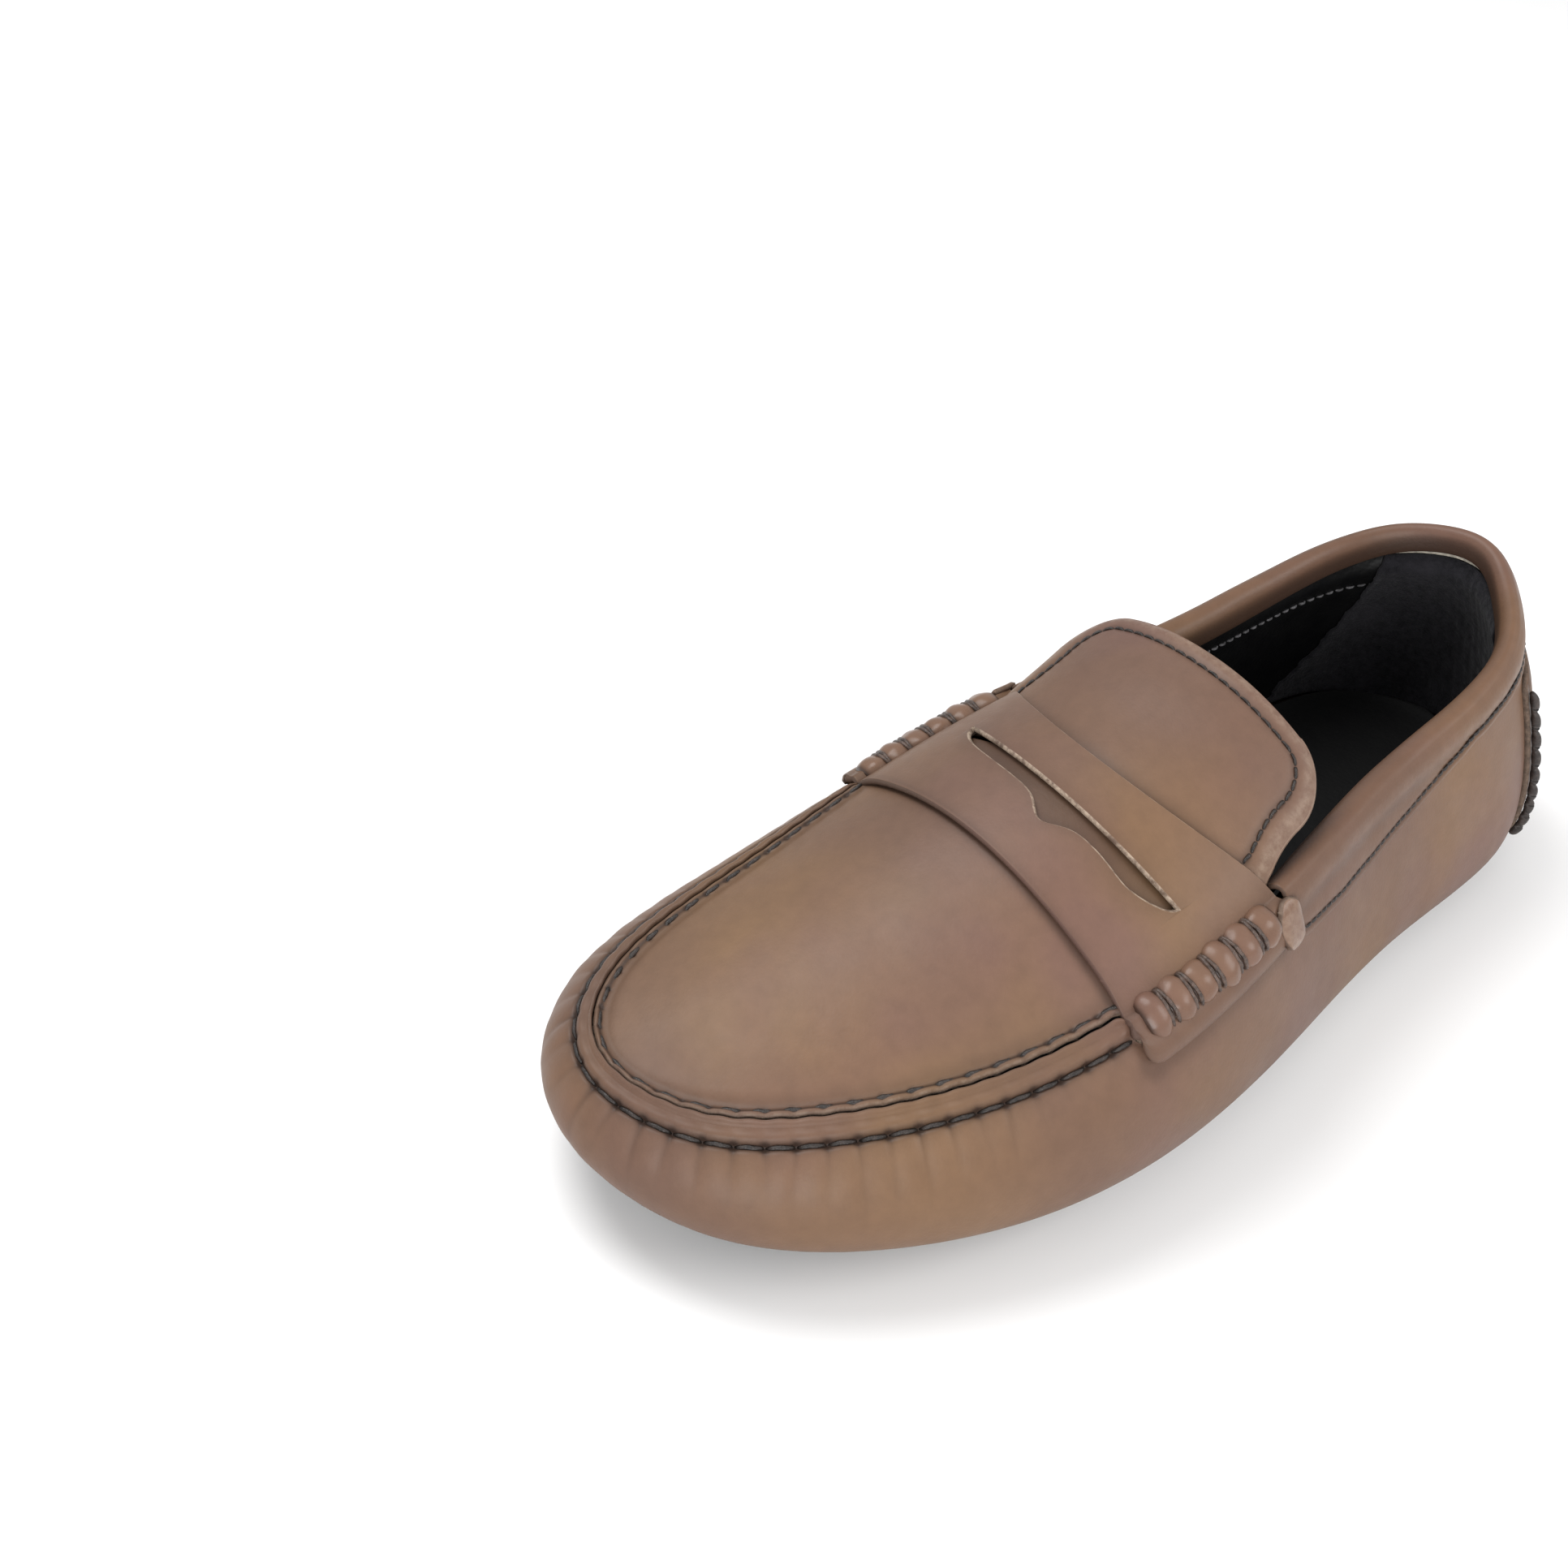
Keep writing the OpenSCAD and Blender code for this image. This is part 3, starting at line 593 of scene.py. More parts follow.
def seam_phase(u):
    """How many stitches along the seam a ring position is."""
    return np.interp(np.mod(u, TURN), SEAM_U, SEAM_RUN) / SEAM_PITCH


def wall_relief(u, drop):
    """How far the leather stands out of the plain wall near the sewn ridge, and the painted shade there: in
    the groove under the stitch line, in the holes and in the puckers.
    """
    share = ridge_share(u)
    phase = seam_phase(u)
    hole = np.abs(phase - np.round(phase)) * SEAM_PITCH
    below = drop - RIDGE_OUT
    out = -0.80 * bell(below, 0.70) + 0.50 * bell(drop - 1.5, 1.2)
    out += 0.22 * (0.5 - bell(hole, 1.5)) * bell(drop - 1.7, 1.4)
    out -= 0.55 * bell(hole, 0.8) * bell(below, 0.8)
    turn = np.mod(u, TURN)
    toe = smooth(5.2, 6.4, turn) * (1 - 0.75 * smooth(10.2, 12.0, turn))
    k = np.clip(np.round(phase), 0, SEAM_COUNT + 1).astype(int)
    drift = (phase - k + PUCKER_LEAN[k] * np.clip(below, 0, 20) / 6) * SEAM_PITCH
    fade = np.exp(-np.clip(below, 0, None) / PUCKER_REACH[k]) * smooth(0, 1.5, below)
    out -= toe * 0.62 * PUCKER_DEPTH[k] * bell(drift, 0.75 + 0.06 * np.clip(below, 0, 15)) * fade
    swell = np.sin(math.pi * phase) ** 2 * np.exp(-np.clip(below, 0, None) / 7.0) * smooth(-1, 1, below)
    wave = np.sin(phase * 2.4 + 1.3 * np.sin(phase * 0.7)) * bell(below - 9, 7.0)
    out += toe * (0.30 * swell + 0.10 * wave)
    # painted shade in the groove under the stitch line, in the stitch holes and in the puckers' creases
    shade = 0.75 * bell(below, 0.8) + 0.25 * bell(below, 2.2) + 0.9 * bell(hole, 0.9) * bell(below, 1.0)
    shade += toe * 0.50 * PUCKER_DEPTH[k] * bell(drift, 0.6) * fade
    return out * share, np.clip(shade * share, 0, 1)


# ---- wrap-round upper ----

def upper_wrap():
    """The leather that wraps the foot from the sole up, with its lip along the sewn ridge."""
    rows = 960
    u = np.arange(rows) * TURN / rows
    side, ridge = from_heel(u), ridge_share(u)
    highest = 1 - 0.035 * (1 - smooth(STRAP_FRONT - 0.05, STRAP_FRONT + 0.02, side))
    share = np.concatenate([np.linspace(0, 0.7, 30)[:-1], np.linspace(0.7, 1, 62)])
    v = share * highest[:, None]
    drop = run_down(wall(u[:, None], v))
    out, shade = wall_relief(np.broadcast_to(u[:, None], v.shape), drop)
    outer = wall(u[:, None], v, -out)
    lip_in = np.array([0.18, 0.42, 0.70, 0.90, 1.02, 1.05])
    lip_up = np.array([0.55, 0.9, 1.0, 0.85, 0.3, -0.6])
    gather = 1 + 0.12 * np.cos(2 * math.pi * (seam_phase(u) + 0.5))
    lip = outer[:, -1:] + rim(u[:, None], lip_in) - rim(u, 0)[:, None]
    lip[..., 2] += lip_up * (0.3 + (RIDGE_RISE * gather * ridge)[:, None])
    inner_v = np.concatenate([np.linspace(0.97, 0.7, 16), np.linspace(0.7, 0, 20)[1:]]) * highest[:, None]
    inner = wall(u[:, None], inner_v, LEATHER - 0.5 * ridge[:, None] * smooth(0.88, 0.97, inner_v))
    section = np.concatenate([outer, lip, inner], 1)
    cols = section.shape[1]
    faces = [grid_faces(rows, cols, closed=True)]
    # two floors close the underside, one at each end of the section
    i = np.arange(rows // 2)
    corners = np.stack([i, i + 1, (rows - i - 1) % rows, (rows - i) % rows], -1) * cols
    faces = np.vstack([*faces, corners, corners[:, ::-1] + cols - 1])
    # painted shade: the lip darkens as it turns in under the apron's edge, and the inner face is painted dark
    lip_shade = np.array([0.05, 0.10, 0.45, 0.6, 0.7, 0.8]) * (0.35 + 0.65 * ridge)[:, None]
    by_strap = smooth(COLLAR_FRONT, COLLAR_FRONT + 0.1, side)
    by_strap *= 1 - smooth(STRAP_FRONT, STRAP_FRONT + 0.05, side)
    # painted shadow on the wall under the strap's turned-down flange
    flange = by_strap[:, None] * bell(drop - 8.5, 2.2) * 0.35
    sole_shade = 0.35 * (1 - smooth(0.10, 0.34, v))
    shades = np.concatenate([np.clip(shade + sole_shade + flange, 0, 1), lip_shade, np.ones_like(inner_v)], 1)
    piece("upper_wrap", section, faces, [LEATHER_MAIN], None, {"shade": shades.reshape(-1), "fibre": 0.0},
          bends="toe", stands_for=("quarters", "vamp"), slot="brown_leather")


# ---- apron plug ----

def plug_relief(inset, u):
    """The apron's rise, shade and fibre at distances inside its edge."""
    share = ridge_share(u)
    phase = seam_phase(u)
    hole = np.abs(phase - np.round(phase)) * SEAM_PITCH
    off = inset - RIDGE_IN
    up = RIDGE_RISE * 0.95 * (1 - smooth(0.8, 2.2, inset)) - 0.35 * bell(off, 0.5)
    up -= 0.35 * bell(hole, 0.7) * bell(off, 0.6) + 0.30 * bell(inset, 0.3)
    up += 0.12 * np.cos(2 * math.pi * (phase + 0.5)) * bell(inset - 0.6, 0.8)
    up -= 0.30 * bell(inset - 2.9, 1.0)
    # painted shade in the stitch groove, along the apron's edge and in the stitch holes
    shade = 0.70 * bell(off, 0.5) + 0.25 * bell(off - 0.9, 1.6) + 0.6 * bell(inset, 0.35)
    shade += 0.9 * bell(hole, 0.7) * bell(off, 0.6)
    fibre = 0.16 * bell(inset - 0.25, 0.20)
    return up * share, np.clip(shade * share, 0, 1), fibre * share


def apron_plug():
    rows = 620
    u = np.linspace(PLUG_REAR, TIP, rows)
    margin = np.concatenate([np.linspace(APRON_EDGE, 5.0, 26)[:-1], np.linspace(5.0, 10.0, 10)])
    across = np.linspace(0, 1, 70)[1:-1]
    points, shades, fibres = [], [], []
    for side in (1, -1):
        room = 3.5 * (1 - smooth(STRAP_FRONT - 0.08, STRAP_FRONT, u))[:, None]
        edge = rim(side * u[:, None], margin[None, :] + room)
        up, shade, fibre = plug_relief(margin[None, :] - APRON_EDGE + 0 * u[:, None], side * u[:, None])
        edge[..., 2] = crown_height(edge[..., 0], edge[..., 1]) + up
        keep = slice(None) if side == 1 else slice(None, None, -1)
        points.append(edge[:, keep])
        shades.append(shade[:, keep])
        fibres.append(fibre[:, keep])
    a, b = points[0][:, -1], points[1][:, 0]
    middle = a[:, None] + across[None, :, None] * (b - a)[:, None]
    middle[..., 2] = crown_height(middle[..., 0], middle[..., 1])
    surface = np.concatenate([points[0], middle, points[1]], 1)
    shade = np.concatenate([shades[0], np.zeros(middle.shape[:2]), shades[1]], 1)
    fibre = np.concatenate([fibres[0], np.zeros(middle.shape[:2]), fibres[1]], 1)
    # painted shadow along the strap's front edge, and painted shade on the part under the strap
    front = surface[..., 0] - strap_edge_x(surface[..., 1], STRAP_FRONT, FRONT_BOW)
    shade = np.clip(shade + 0.55 * bell(front - 0.3, 1.2) + 0.5 * (1 - smooth(-14, -3, front)), 0, 1)
    sheet("apron_plug_leather", surface, grid_faces(rows, surface.shape[1]), LEATHER,
          [LEATHER_PLUG, EDGE_DARK, FLESH], upwards, values={"shade": shade, "fibre": fibre}, bends="toe",
          stands_for=("apron_plug",), slot="brown_leather")


def seam_threads():
    outer = wall(SEAM_U, SEAM_V, 0.40)
    normal = wall(SEAM_U, SEAM_V, -1) - wall(SEAM_U, SEAM_V, 0)
    inner = rim(SEAM_U, RIDGE_IN + APRON_EDGE)
    inner[:, 2] = crown_height(inner[:, 0], inner[:, 1]) + 0.30
    for name, run in (("outer", stitch_run(outer, SEAM_PITCH, 0.48, 1.1, gap=0.10, normal=normal)),
                      ("inner", stitch_run(inner, SEAM_PITCH, 0.52, 1.1, gap=0.16))):
        piece(f"seam_stitches_{name}", *run, [WAXED], bends="toe", stands_for=(f"seam_thread_{name}",),
              slot="dark_thread")


# ---- penny strap ----

STRAP_OUTER_Y, STRAP_WIDTH = 48.0, 88.0  # its outer end's place and its width between the rolls
STRAP_ROWS = 16                          # of each of its two bands, behind and in front of the slot
FLANGE = np.linspace(0, 1, 12)[:-1]      # shares down its turned-down ends
SLOT_MIDDLE, SLOT_HALF = 7.6, 31.2       # sideways place and half length of the slot
SLOT_X, SLOT_WIDTH = 134.0, 5.0          # its rear edge in the middle, and its width
SLOT_SWEEP_IN, SLOT_SWEEP_OUT = 5.4, 4.0 # how far its inner and outer ends lie behind the middle
NOTCH_Y, NOTCH_DEPTH = 10.5, 4.0         # the point in its front edge
SLOT_RING = 4.72                         # ring position of the line across it


def slot_edges(y):
    """x of the slot's rear and front edges; they meet where there's no slot."""
    t = (y - SLOT_MIDDLE) / SLOT_HALF
    rear = SLOT_X - SLOT_SWEEP_IN * np.clip(-t, 0, 1.5) ** 2 - SLOT_SWEEP_OUT * np.clip(t, 0, 1.5) ** 2
    width = (SLOT_WIDTH + 1.2 * bell(y - 31, 5.0)) * np.sqrt(1 - np.clip(t, -1, 1) ** 8)
    return rear, rear + width + NOTCH_DEPTH * bell(y - NOTCH_Y, 4.6)


def top(u, s, lift=0.0):
    """Points of the arched top at shares s across from the outer to the inner seam."""
    u, s, lift = numbers(u, s, lift)
    a, b = rim(u, 0), rim(-u, 0)
    p = a + s[..., None] * (b - a)
    p[..., 2] += station(u)[..., 3] * 4 * s * (1 - s) + lift
    return p


def strap_edge_x(y, end_u, bow):
    """x of one of the strap's edges, which bows towards the toe in the middle."""
    s = np.clip((STRAP_OUTER_Y - y) / STRAP_WIDTH, 0, 1)
    return np.interp(end_u + bow * 4 * s * (1 - s), HALF_RING, EDGE_OUT[:, 0])


def strap_columns():
    """Shares across the strap, closer near the slot's ends."""
    s = [np.linspace(*stretch) for stretch in ((0.005, 0.08, 14), (0.085, 0.915, 130), (0.92, 0.995, 14))]
    s = np.concatenate(s)
    y = top(SLOT_RING, s)[:, 1]
    ends = np.interp([SLOT_MIDDLE - SLOT_HALF, SLOT_MIDDLE + SLOT_HALF], y[::-1], s[::-1])
    near = np.concatenate([e + sign * np.geomspace(0.0006, 0.02, 12) for e in ends for sign in (-1, 1)])
    return np.unique(np.concatenate([s, ends, near]))


def strap_line(u, columns):
    """One line across the strap, u being ring positions at its outer end, its columns and its inner end."""
    ends = []
    for side, end_u in ((1, u[0]), (-1, u[-1])):
        f = (end_u - STRAP_REAR) / (STRAP_FRONT - STRAP_REAR)
        from_corner = np.clip(np.minimum(f, 1 - f) / 0.09, 0, 1)
        low = 0.91 - 0.075 * math.sqrt(max(0.0, 1 - (1 - from_corner) ** 2))
        stand = LEATHER + 0.05 + 0.75 * np.sin(math.pi * np.clip(FLANGE * 1.5, 0, 1))
        stand -= 0.3 * bell(FLANGE, 0.15)
        flange = wall(side * end_u, low + (1 - low) * FLANGE, -stand)
        ends.append(np.vstack([flange, wall(side * end_u, [1.0], -LEATHER * 0.75, 0.15)]))
    across = top(u[1:-1], columns, LEATHER + 0.5)
    across[:, 2] -= 1.9 * np.exp(-(np.minimum(columns, 1 - columns) * STRAP_WIDTH / 3.2) ** 1.5)
    return np.vstack([ends[0], across, ends[1][::-1]])


def saddle_strap():
    """The strap as two bands, behind and in front of its slot, which touch beyond the slot's ends."""
    columns = strap_columns()
    bow = 4 * np.pad(columns * (1 - columns), 1)
    y_slot = top(SLOT_RING, columns)[:, 1]
    u_slot = [[np.interp(x, EDGE_OUT[:, 0] * (1 - s) + EDGE_IN[:, 0] * s, HALF_RING)
               for x, s in zip(edge, columns)] for edge in slot_edges(y_slot)]
    u_rear = np.pad(u_slot[0], 1, mode="edge")
    u_front = np.pad(np.where(np.abs(y_slot - SLOT_MIDDLE) < SLOT_HALF, u_slot[1], u_slot[0]), 1, mode="edge")
    bands = ((STRAP_REAR + STRAP_BOW * bow, u_rear), (u_front, STRAP_FRONT + FRONT_BOW * bow))
    lines = [strap_line(a + (b - a) * f, columns) for a, b in bands for f in ease(0, 1, STRAP_ROWS)]
    cols, points = len(lines[0]), np.vstack(lines)
    faces = np.vstack([grid_faces(STRAP_ROWS, cols, start=k * STRAP_ROWS * cols) for k in (0, 1)])
    row, column = np.divmod(np.arange(len(points)), cols)
    from_end = np.minimum(column, cols - 1 - column) - len(FLANGE)
    inside = from_end > 0
    # the leather stands up a little round the slot; painted shade darkens it round the slot, along its front
    # edge, down its turned-down ends and beside the rolls
    x, y = points[:, 0], points[:, 1]
    a, b = slot_edges(y)
    by_slot = np.abs(y - SLOT_MIDDLE) < SLOT_HALF
    near = np.exp(-np.clip(np.minimum(np.abs(x - a), np.abs(x - b)), 0, 30) / 2.5) * by_slot
    points[:, 2] += 0.25 * near * inside
    front = strap_edge_x(y, STRAP_FRONT, FRONT_BOW) - x
    shade = 0.30 * np.exp(-np.abs(front) / 0.9) + 0.25 * near
    shade = shade + np.where(inside, 0.45 * np.exp(-from_end / 3.0), 0.15)
    at_slot = ((row == STRAP_ROWS - 1) | (row == STRAP_ROWS)) & by_slot
    fibre = np.where(at_slot, 0.65, 0.30 * (row == 0))
    sheet("saddle_strap_leather", points, faces, LEATHER, [LEATHER_MAIN, EDGE, FLESH], upwards,
          values={"shade": np.clip(shade, 0, 1), "fibre": fibre}, bends="toe", stands_for=("saddle_strap",),
          slot="brown_leather")


# ---- beef rolls ----

BEADS, BEAD_R, NECK_R = 6, 3.95, 2.45
WRAP_R, WRAP_SHIFT = 0.50, 0.06875   # radius of the thread, and its two turns' shift from a neck, in beads
ROLL_LEAN = math.radians(32)
TAB_U, TAB_V = (4.095, 0.085), (0.915, 0.095)    # middle and half size of a tab, along and up the wall


def roll_path(side, share):
    """Middle line of a roll, at shares of the way from its rear to its front end."""
    u = STRAP_REAR + 0.10 + (STRAP_FRONT - STRAP_REAR - 0.17) * np.asarray(share, float)
    return rim(side * u, -1.2, -0.8)


def squash(offset, ahead, side):
    """Flattens a roll's round section, so that it lies against the wall and leans outwards."""
    out = unit(np.cross(ahead, [0, 0, 1.0]))
    out *= np.sign(out[..., 1:2]) * side
    up = np.cross(ahead, out)
    up *= np.sign(up[..., 2:])
    long_way = math.cos(ROLL_LEAN) * out - math.sin(ROLL_LEAN) * up
    short_way = math.sin(ROLL_LEAN) * out + math.cos(ROLL_LEAN) * up
    a, b = [(offset * way).sum(-1, keepdims=True) for way in (long_way, short_way)]
    return offset + 0.12 * a * long_way - 0.20 * b * short_way


def beef_roll(side, name):
    """A roll of leather drawn in by its thread into beads."""
    per_bead, sides = 22, 40
    f = np.linspace(0, 1, BEADS * per_bead + 1)
    path, phase = roll_path(side, f), f * BEADS
    size = rng.uniform(0.95, 1.05, BEADS)[np.clip(np.floor(phase).astype(int), 0, BEADS - 1)]
    bulge = np.abs(np.sin(math.pi * phase)) ** 0.75
    radius = NECK_R + (BEAD_R * size - NECK_R) * bulge
    radius[0] = radius[-1] = 1.2
    points, faces = tube(path, radius, sides=sides)
    a = np.tile(np.arange(sides) * 2 * math.pi / sides, len(f))
    ahead = unit(np.gradient(path, axis=0))
    p, centre, fullness, ahead = [np.repeat(row, sides, axis=0) for row in (phase, path, bulge, ahead)]
    crease = 0.18 * np.sin(3 * a + 4 * p) * fullness + 0.10 * np.sin(7 * a - 2 * p)
    offset = points[:-2] - centre
    offset += unit(offset) * crease[:, None] * 0.6
    points[:-2] = centre + squash(offset, ahead, side)
    # painted shade in the necks between the beads and at the roll's closed ends
    shade = np.append(0.95 * bell(p - np.round(p), 0.13), [1.0, 1.0])
    piece(f"beef_roll_{name}_leather", points, faces, [LEATHER_BEAD], None, {"shade": shade, "fibre": 0.0},
          bends="toe", stands_for=(f"beef_roll_{name}",), slot="brown_leather")


def roll_wraps(side, name):
    """Two turns of thread round each neck between the beads, open towards the leather."""
    a = np.linspace(-0.62, 1.30, 40)[:, None] * math.pi
    loops = []
    for k in range(1, BEADS):
        for shift in (-WRAP_SHIFT, WRAP_SHIFT):
            share = (k + shift) / BEADS
            ahead = unit(roll_path(side, share + 0.01) - roll_path(side, share - 0.01))
            out = unit(np.cross(ahead, [0, 0, 1.0]))
            up = np.cross(out, ahead)
            out = out * np.sign(out[1]) * side
            ring = (NECK_R + 0.62) * (np.cos(a) * out + np.sin(a) * up)
            loop = roll_path(side, share) + squash(ring, ahead[None], side)
            loop += ahead * (0.35 * np.cos(a) * np.sign(shift))
            loops.append(tube(loop, WRAP_R, ply=0.14, twist=1.3, up=ahead))
    piece(f"roll_wraps_{name}", *join(loops), [WRAP], bends="toe", stands_for=(f"roll_thread_{name}",),
          slot="dark_thread")


def roll_tab(side, name):
    """The rounded end of the whipped strip, which lies over the collar's front corner."""
    a, b = np.linspace(-1, 1, 41)[:, None], np.linspace(-1, 1, 31)
    round_a, round_b = a * np.sqrt(1 - 0.5 * b ** 2), b * np.sqrt(1 - 0.5 * a ** 2)
    swell = 1 - 0.5 * np.maximum(np.abs(round_a), np.abs(round_b)) ** 4
    surface = wall(side * (TAB_U[0] + TAB_U[1] * round_a), TAB_V[0] + TAB_V[1] * round_b, -1.7 - 1.5 * swell)
    sheet(f"roll_tab_{name}", surface, grid_faces(41, 31), 1.5, [LEATHER_BEAD, EDGE, FLESH], sideways, 0.4,
          values={"shade": 0.0, "fibre": 0.16}, bends="toe", slot="brown_leather")


# ---- tongue ----

TONGUE_REAR, TONGUE_CORNER = 79.0, 14.0          # x of its rear edge, and how long its rounded corners are
TONGUE_STRAIGHT, TONGUE_ROUND = 24.5, 10.5       # half the straight part of that edge, and the corners' width
TONGUE_TOP, TONGUE_DROP = 79.2, 6.8              # that edge's height in the middle, and its drop outwards
TONGUE_SEAM, TONGUE_SEAM_FRONT = 4.5, 112.0      # the stitch line's inset, and where along x it ends


def tongue_half(q, inset=0.0):
    """Half width of the tongue q in front of its rear edge, for an outline moved in by inset."""
    corner = TONGUE_CORNER - inset
    bend = np.sqrt(1 - (1 - np.clip(q, 0, corner) / corner) ** 2)
    return TONGUE_STRAIGHT + (TONGUE_ROUND - inset) * bend + 0.012 * np.clip(q - corner, 0, 14) ** 2


def tongue_middle(x):
    """y of the tongue's middle line."""
    return 2.5 + 0.08 * np.clip(x - TONGUE_REAR, 0, 25)


def tongue_height(x, y):
    """The tongue lies on the apron under the strap and rises behind it, most in the middle."""
    rear = TONGUE_TOP - TONGUE_DROP * np.clip(np.abs(y - 1) / 27, 0, 1.6) ** 2.2
    front = strap_edge_x(y, STRAP_REAR, STRAP_BOW) - 1.0
    share = np.clip((front - x) / np.maximum(front - TONGUE_REAR, 1.0), 0, 1) ** 0.85
    return crown_height(x, y) + share * (rear - crown_height(np.full_like(x, TONGUE_REAR), y))


def tongue_outline(inset, front):
    """The tongue's outline from its front round the rear edge to the front again."""
    q = TONGUE_CORNER * (1 - np.cos(np.linspace(0, math.pi / 2, 24)))
    q = np.concatenate([q, np.linspace(TONGUE_CORNER, front - TONGUE_REAR - inset, 40)[1:]])
    half = tongue_half(q, inset)
    x = TONGUE_REAR + inset + q
    across = np.linspace(-TONGUE_STRAIGHT, TONGUE_STRAIGHT, 50)[1:-1]
    middle = tongue_middle(x)
    return (np.concatenate([x[::-1], np.full(len(across), TONGUE_REAR + inset), x]),
            np.concatenate([(middle - half)[::-1], tongue_middle(TONGUE_REAR) + across, middle + half]))


def distance_to(x, y, line_x, line_y):
    """Distance from places to a broken line."""
    dx, dy = np.diff(line_x), np.diff(line_y)
    px, py = x[..., None] - line_x[:-1], y[..., None] - line_y[:-1]
    t = np.clip((px * dx + py * dy) / (dx ** 2 + dy ** 2), 0, 1)
    return np.hypot(px - t * dx, py - t * dy).min(-1)


def tongue_grid(inset):
    """Places of the tongue inside its outline, and how far each lies from the outline."""
    front = float(rim(TONGUE_FRONT, 0)[0])
    corner = TONGUE_CORNER - inset
    q = np.concatenate([corner * (1 - np.cos(np.linspace(0, math.pi / 2, 22))),
                        np.linspace(corner, front - TONGUE_REAR - inset, 50)[1:]])
    across = np.sin(np.linspace(-1, 1, 111) * math.pi / 2)
    x = np.broadcast_to((TONGUE_REAR + inset + q)[:, None], (len(q), len(across)))
    y = tongue_middle(x) + tongue_half(q, inset)[:, None] * across[None, :]
    return x, y, distance_to(x, y, *tongue_outline(0.0, front + 12))


def tongue():
    x, y, edge = tongue_grid(0.0)
    behind = smooth(-3.0, 6.0, strap_edge_x(y, STRAP_REAR, STRAP_BOW) - x)
    relief = 0.30 * bell(edge - 2.2, 1.6) - 0.45 * bell(edge - 4.5, 0.8) - 0.35 * bell(edge, 0.8)
    relief = relief + 0.25 * np.sin(x * 0.22 + y * 0.05) * smooth(6, 16, edge)
    surface = np.stack([x, y, tongue_height(x, y) + relief * behind], -1)
    # painted shade in the stitch groove, and painted shadow where the tongue lies under the strap
    shade = 0.55 * bell(edge - 4.5, 0.7) + 0.75 * (1 - behind)
    fibre = 0.18 * bell(edge - 1.2, 1.4)
    sheet("tongue_leather", surface, grid_faces(*x.shape), 1.7, [LEATHER_MAIN, EDGE_TONGUE, FLESH], upwards,
          0.45, values={"shade": np.clip(shade, 0, 1), "fibre": fibre}, bends="tongue",
          stands_for=("tongue",), slot="brown_leather")
    x, y, _ = tongue_grid(0.8)
    surface = np.stack([x, y, tongue_height(x, y) - 1.85], -1)
    sheet("tongue_lining_leather", surface, grid_faces(*x.shape), LINING, [BLACK], upwards,
          bends="tongue", stands_for=("tongue_lining",), slot="black_leather")
    x, y = tongue_outline(TONGUE_SEAM, TONGUE_SEAM_FRONT)
    stitches = stitch_run(np.stack([x, y, tongue_height(x, y) - 0.12], -1), 3.1, 0.36, 0.5, gap=0.10)
    piece("tongue_stitches", *stitches, [WAXED], bends="tongue", stands_for=("tongue_thread",),
          slot="dark_thread")


# ---- collar ----

def through(points, count):
    """count points on a smooth curve through a few points."""
    p = np.asarray(points, float)
    p = np.vstack([2 * p[0] - p[1], p, 2 * p[-1] - p[-2]])
    t = np.linspace(0, len(p) - 3 - 1e-9, count)
    i = np.floor(t).astype(int)
    t = (t - i)[:, None]
    a, b, c, d = p[i], p[i + 1], p[i + 2], p[i + 3]
    square, cube = 2 * a - 5 * b + 4 * c - d, 3 * b - a - 3 * c + d
    return 0.5 * (2 * b + (c - a) * t + square * t ** 2 + cube * t ** 3)


def collar_low(u):
    """Height on the wall of the collar's lower edge, as collar_edge in part.scad has it.

    Those heights come from laying the photo's stitch line over the wall with a program.
    """
    return np.interp(np.sqrt(u ** 2 + 0.02), [0, 1, 1.63, 2.1, 2.4, 2.7, 3, 3.3, 3.6, COLLAR_FRONT],
                     [0.845, 0.86, 0.87, 0.87, 0.86, 0.83, 0.79, 0.765, 0.76, 0.79])


def collar_reach(u):
    """How far the collar's fold reaches in, as a share: less round the heel."""
    return 0.72 + 0.28 * smooth(1.5, 3.2, np.abs(u))


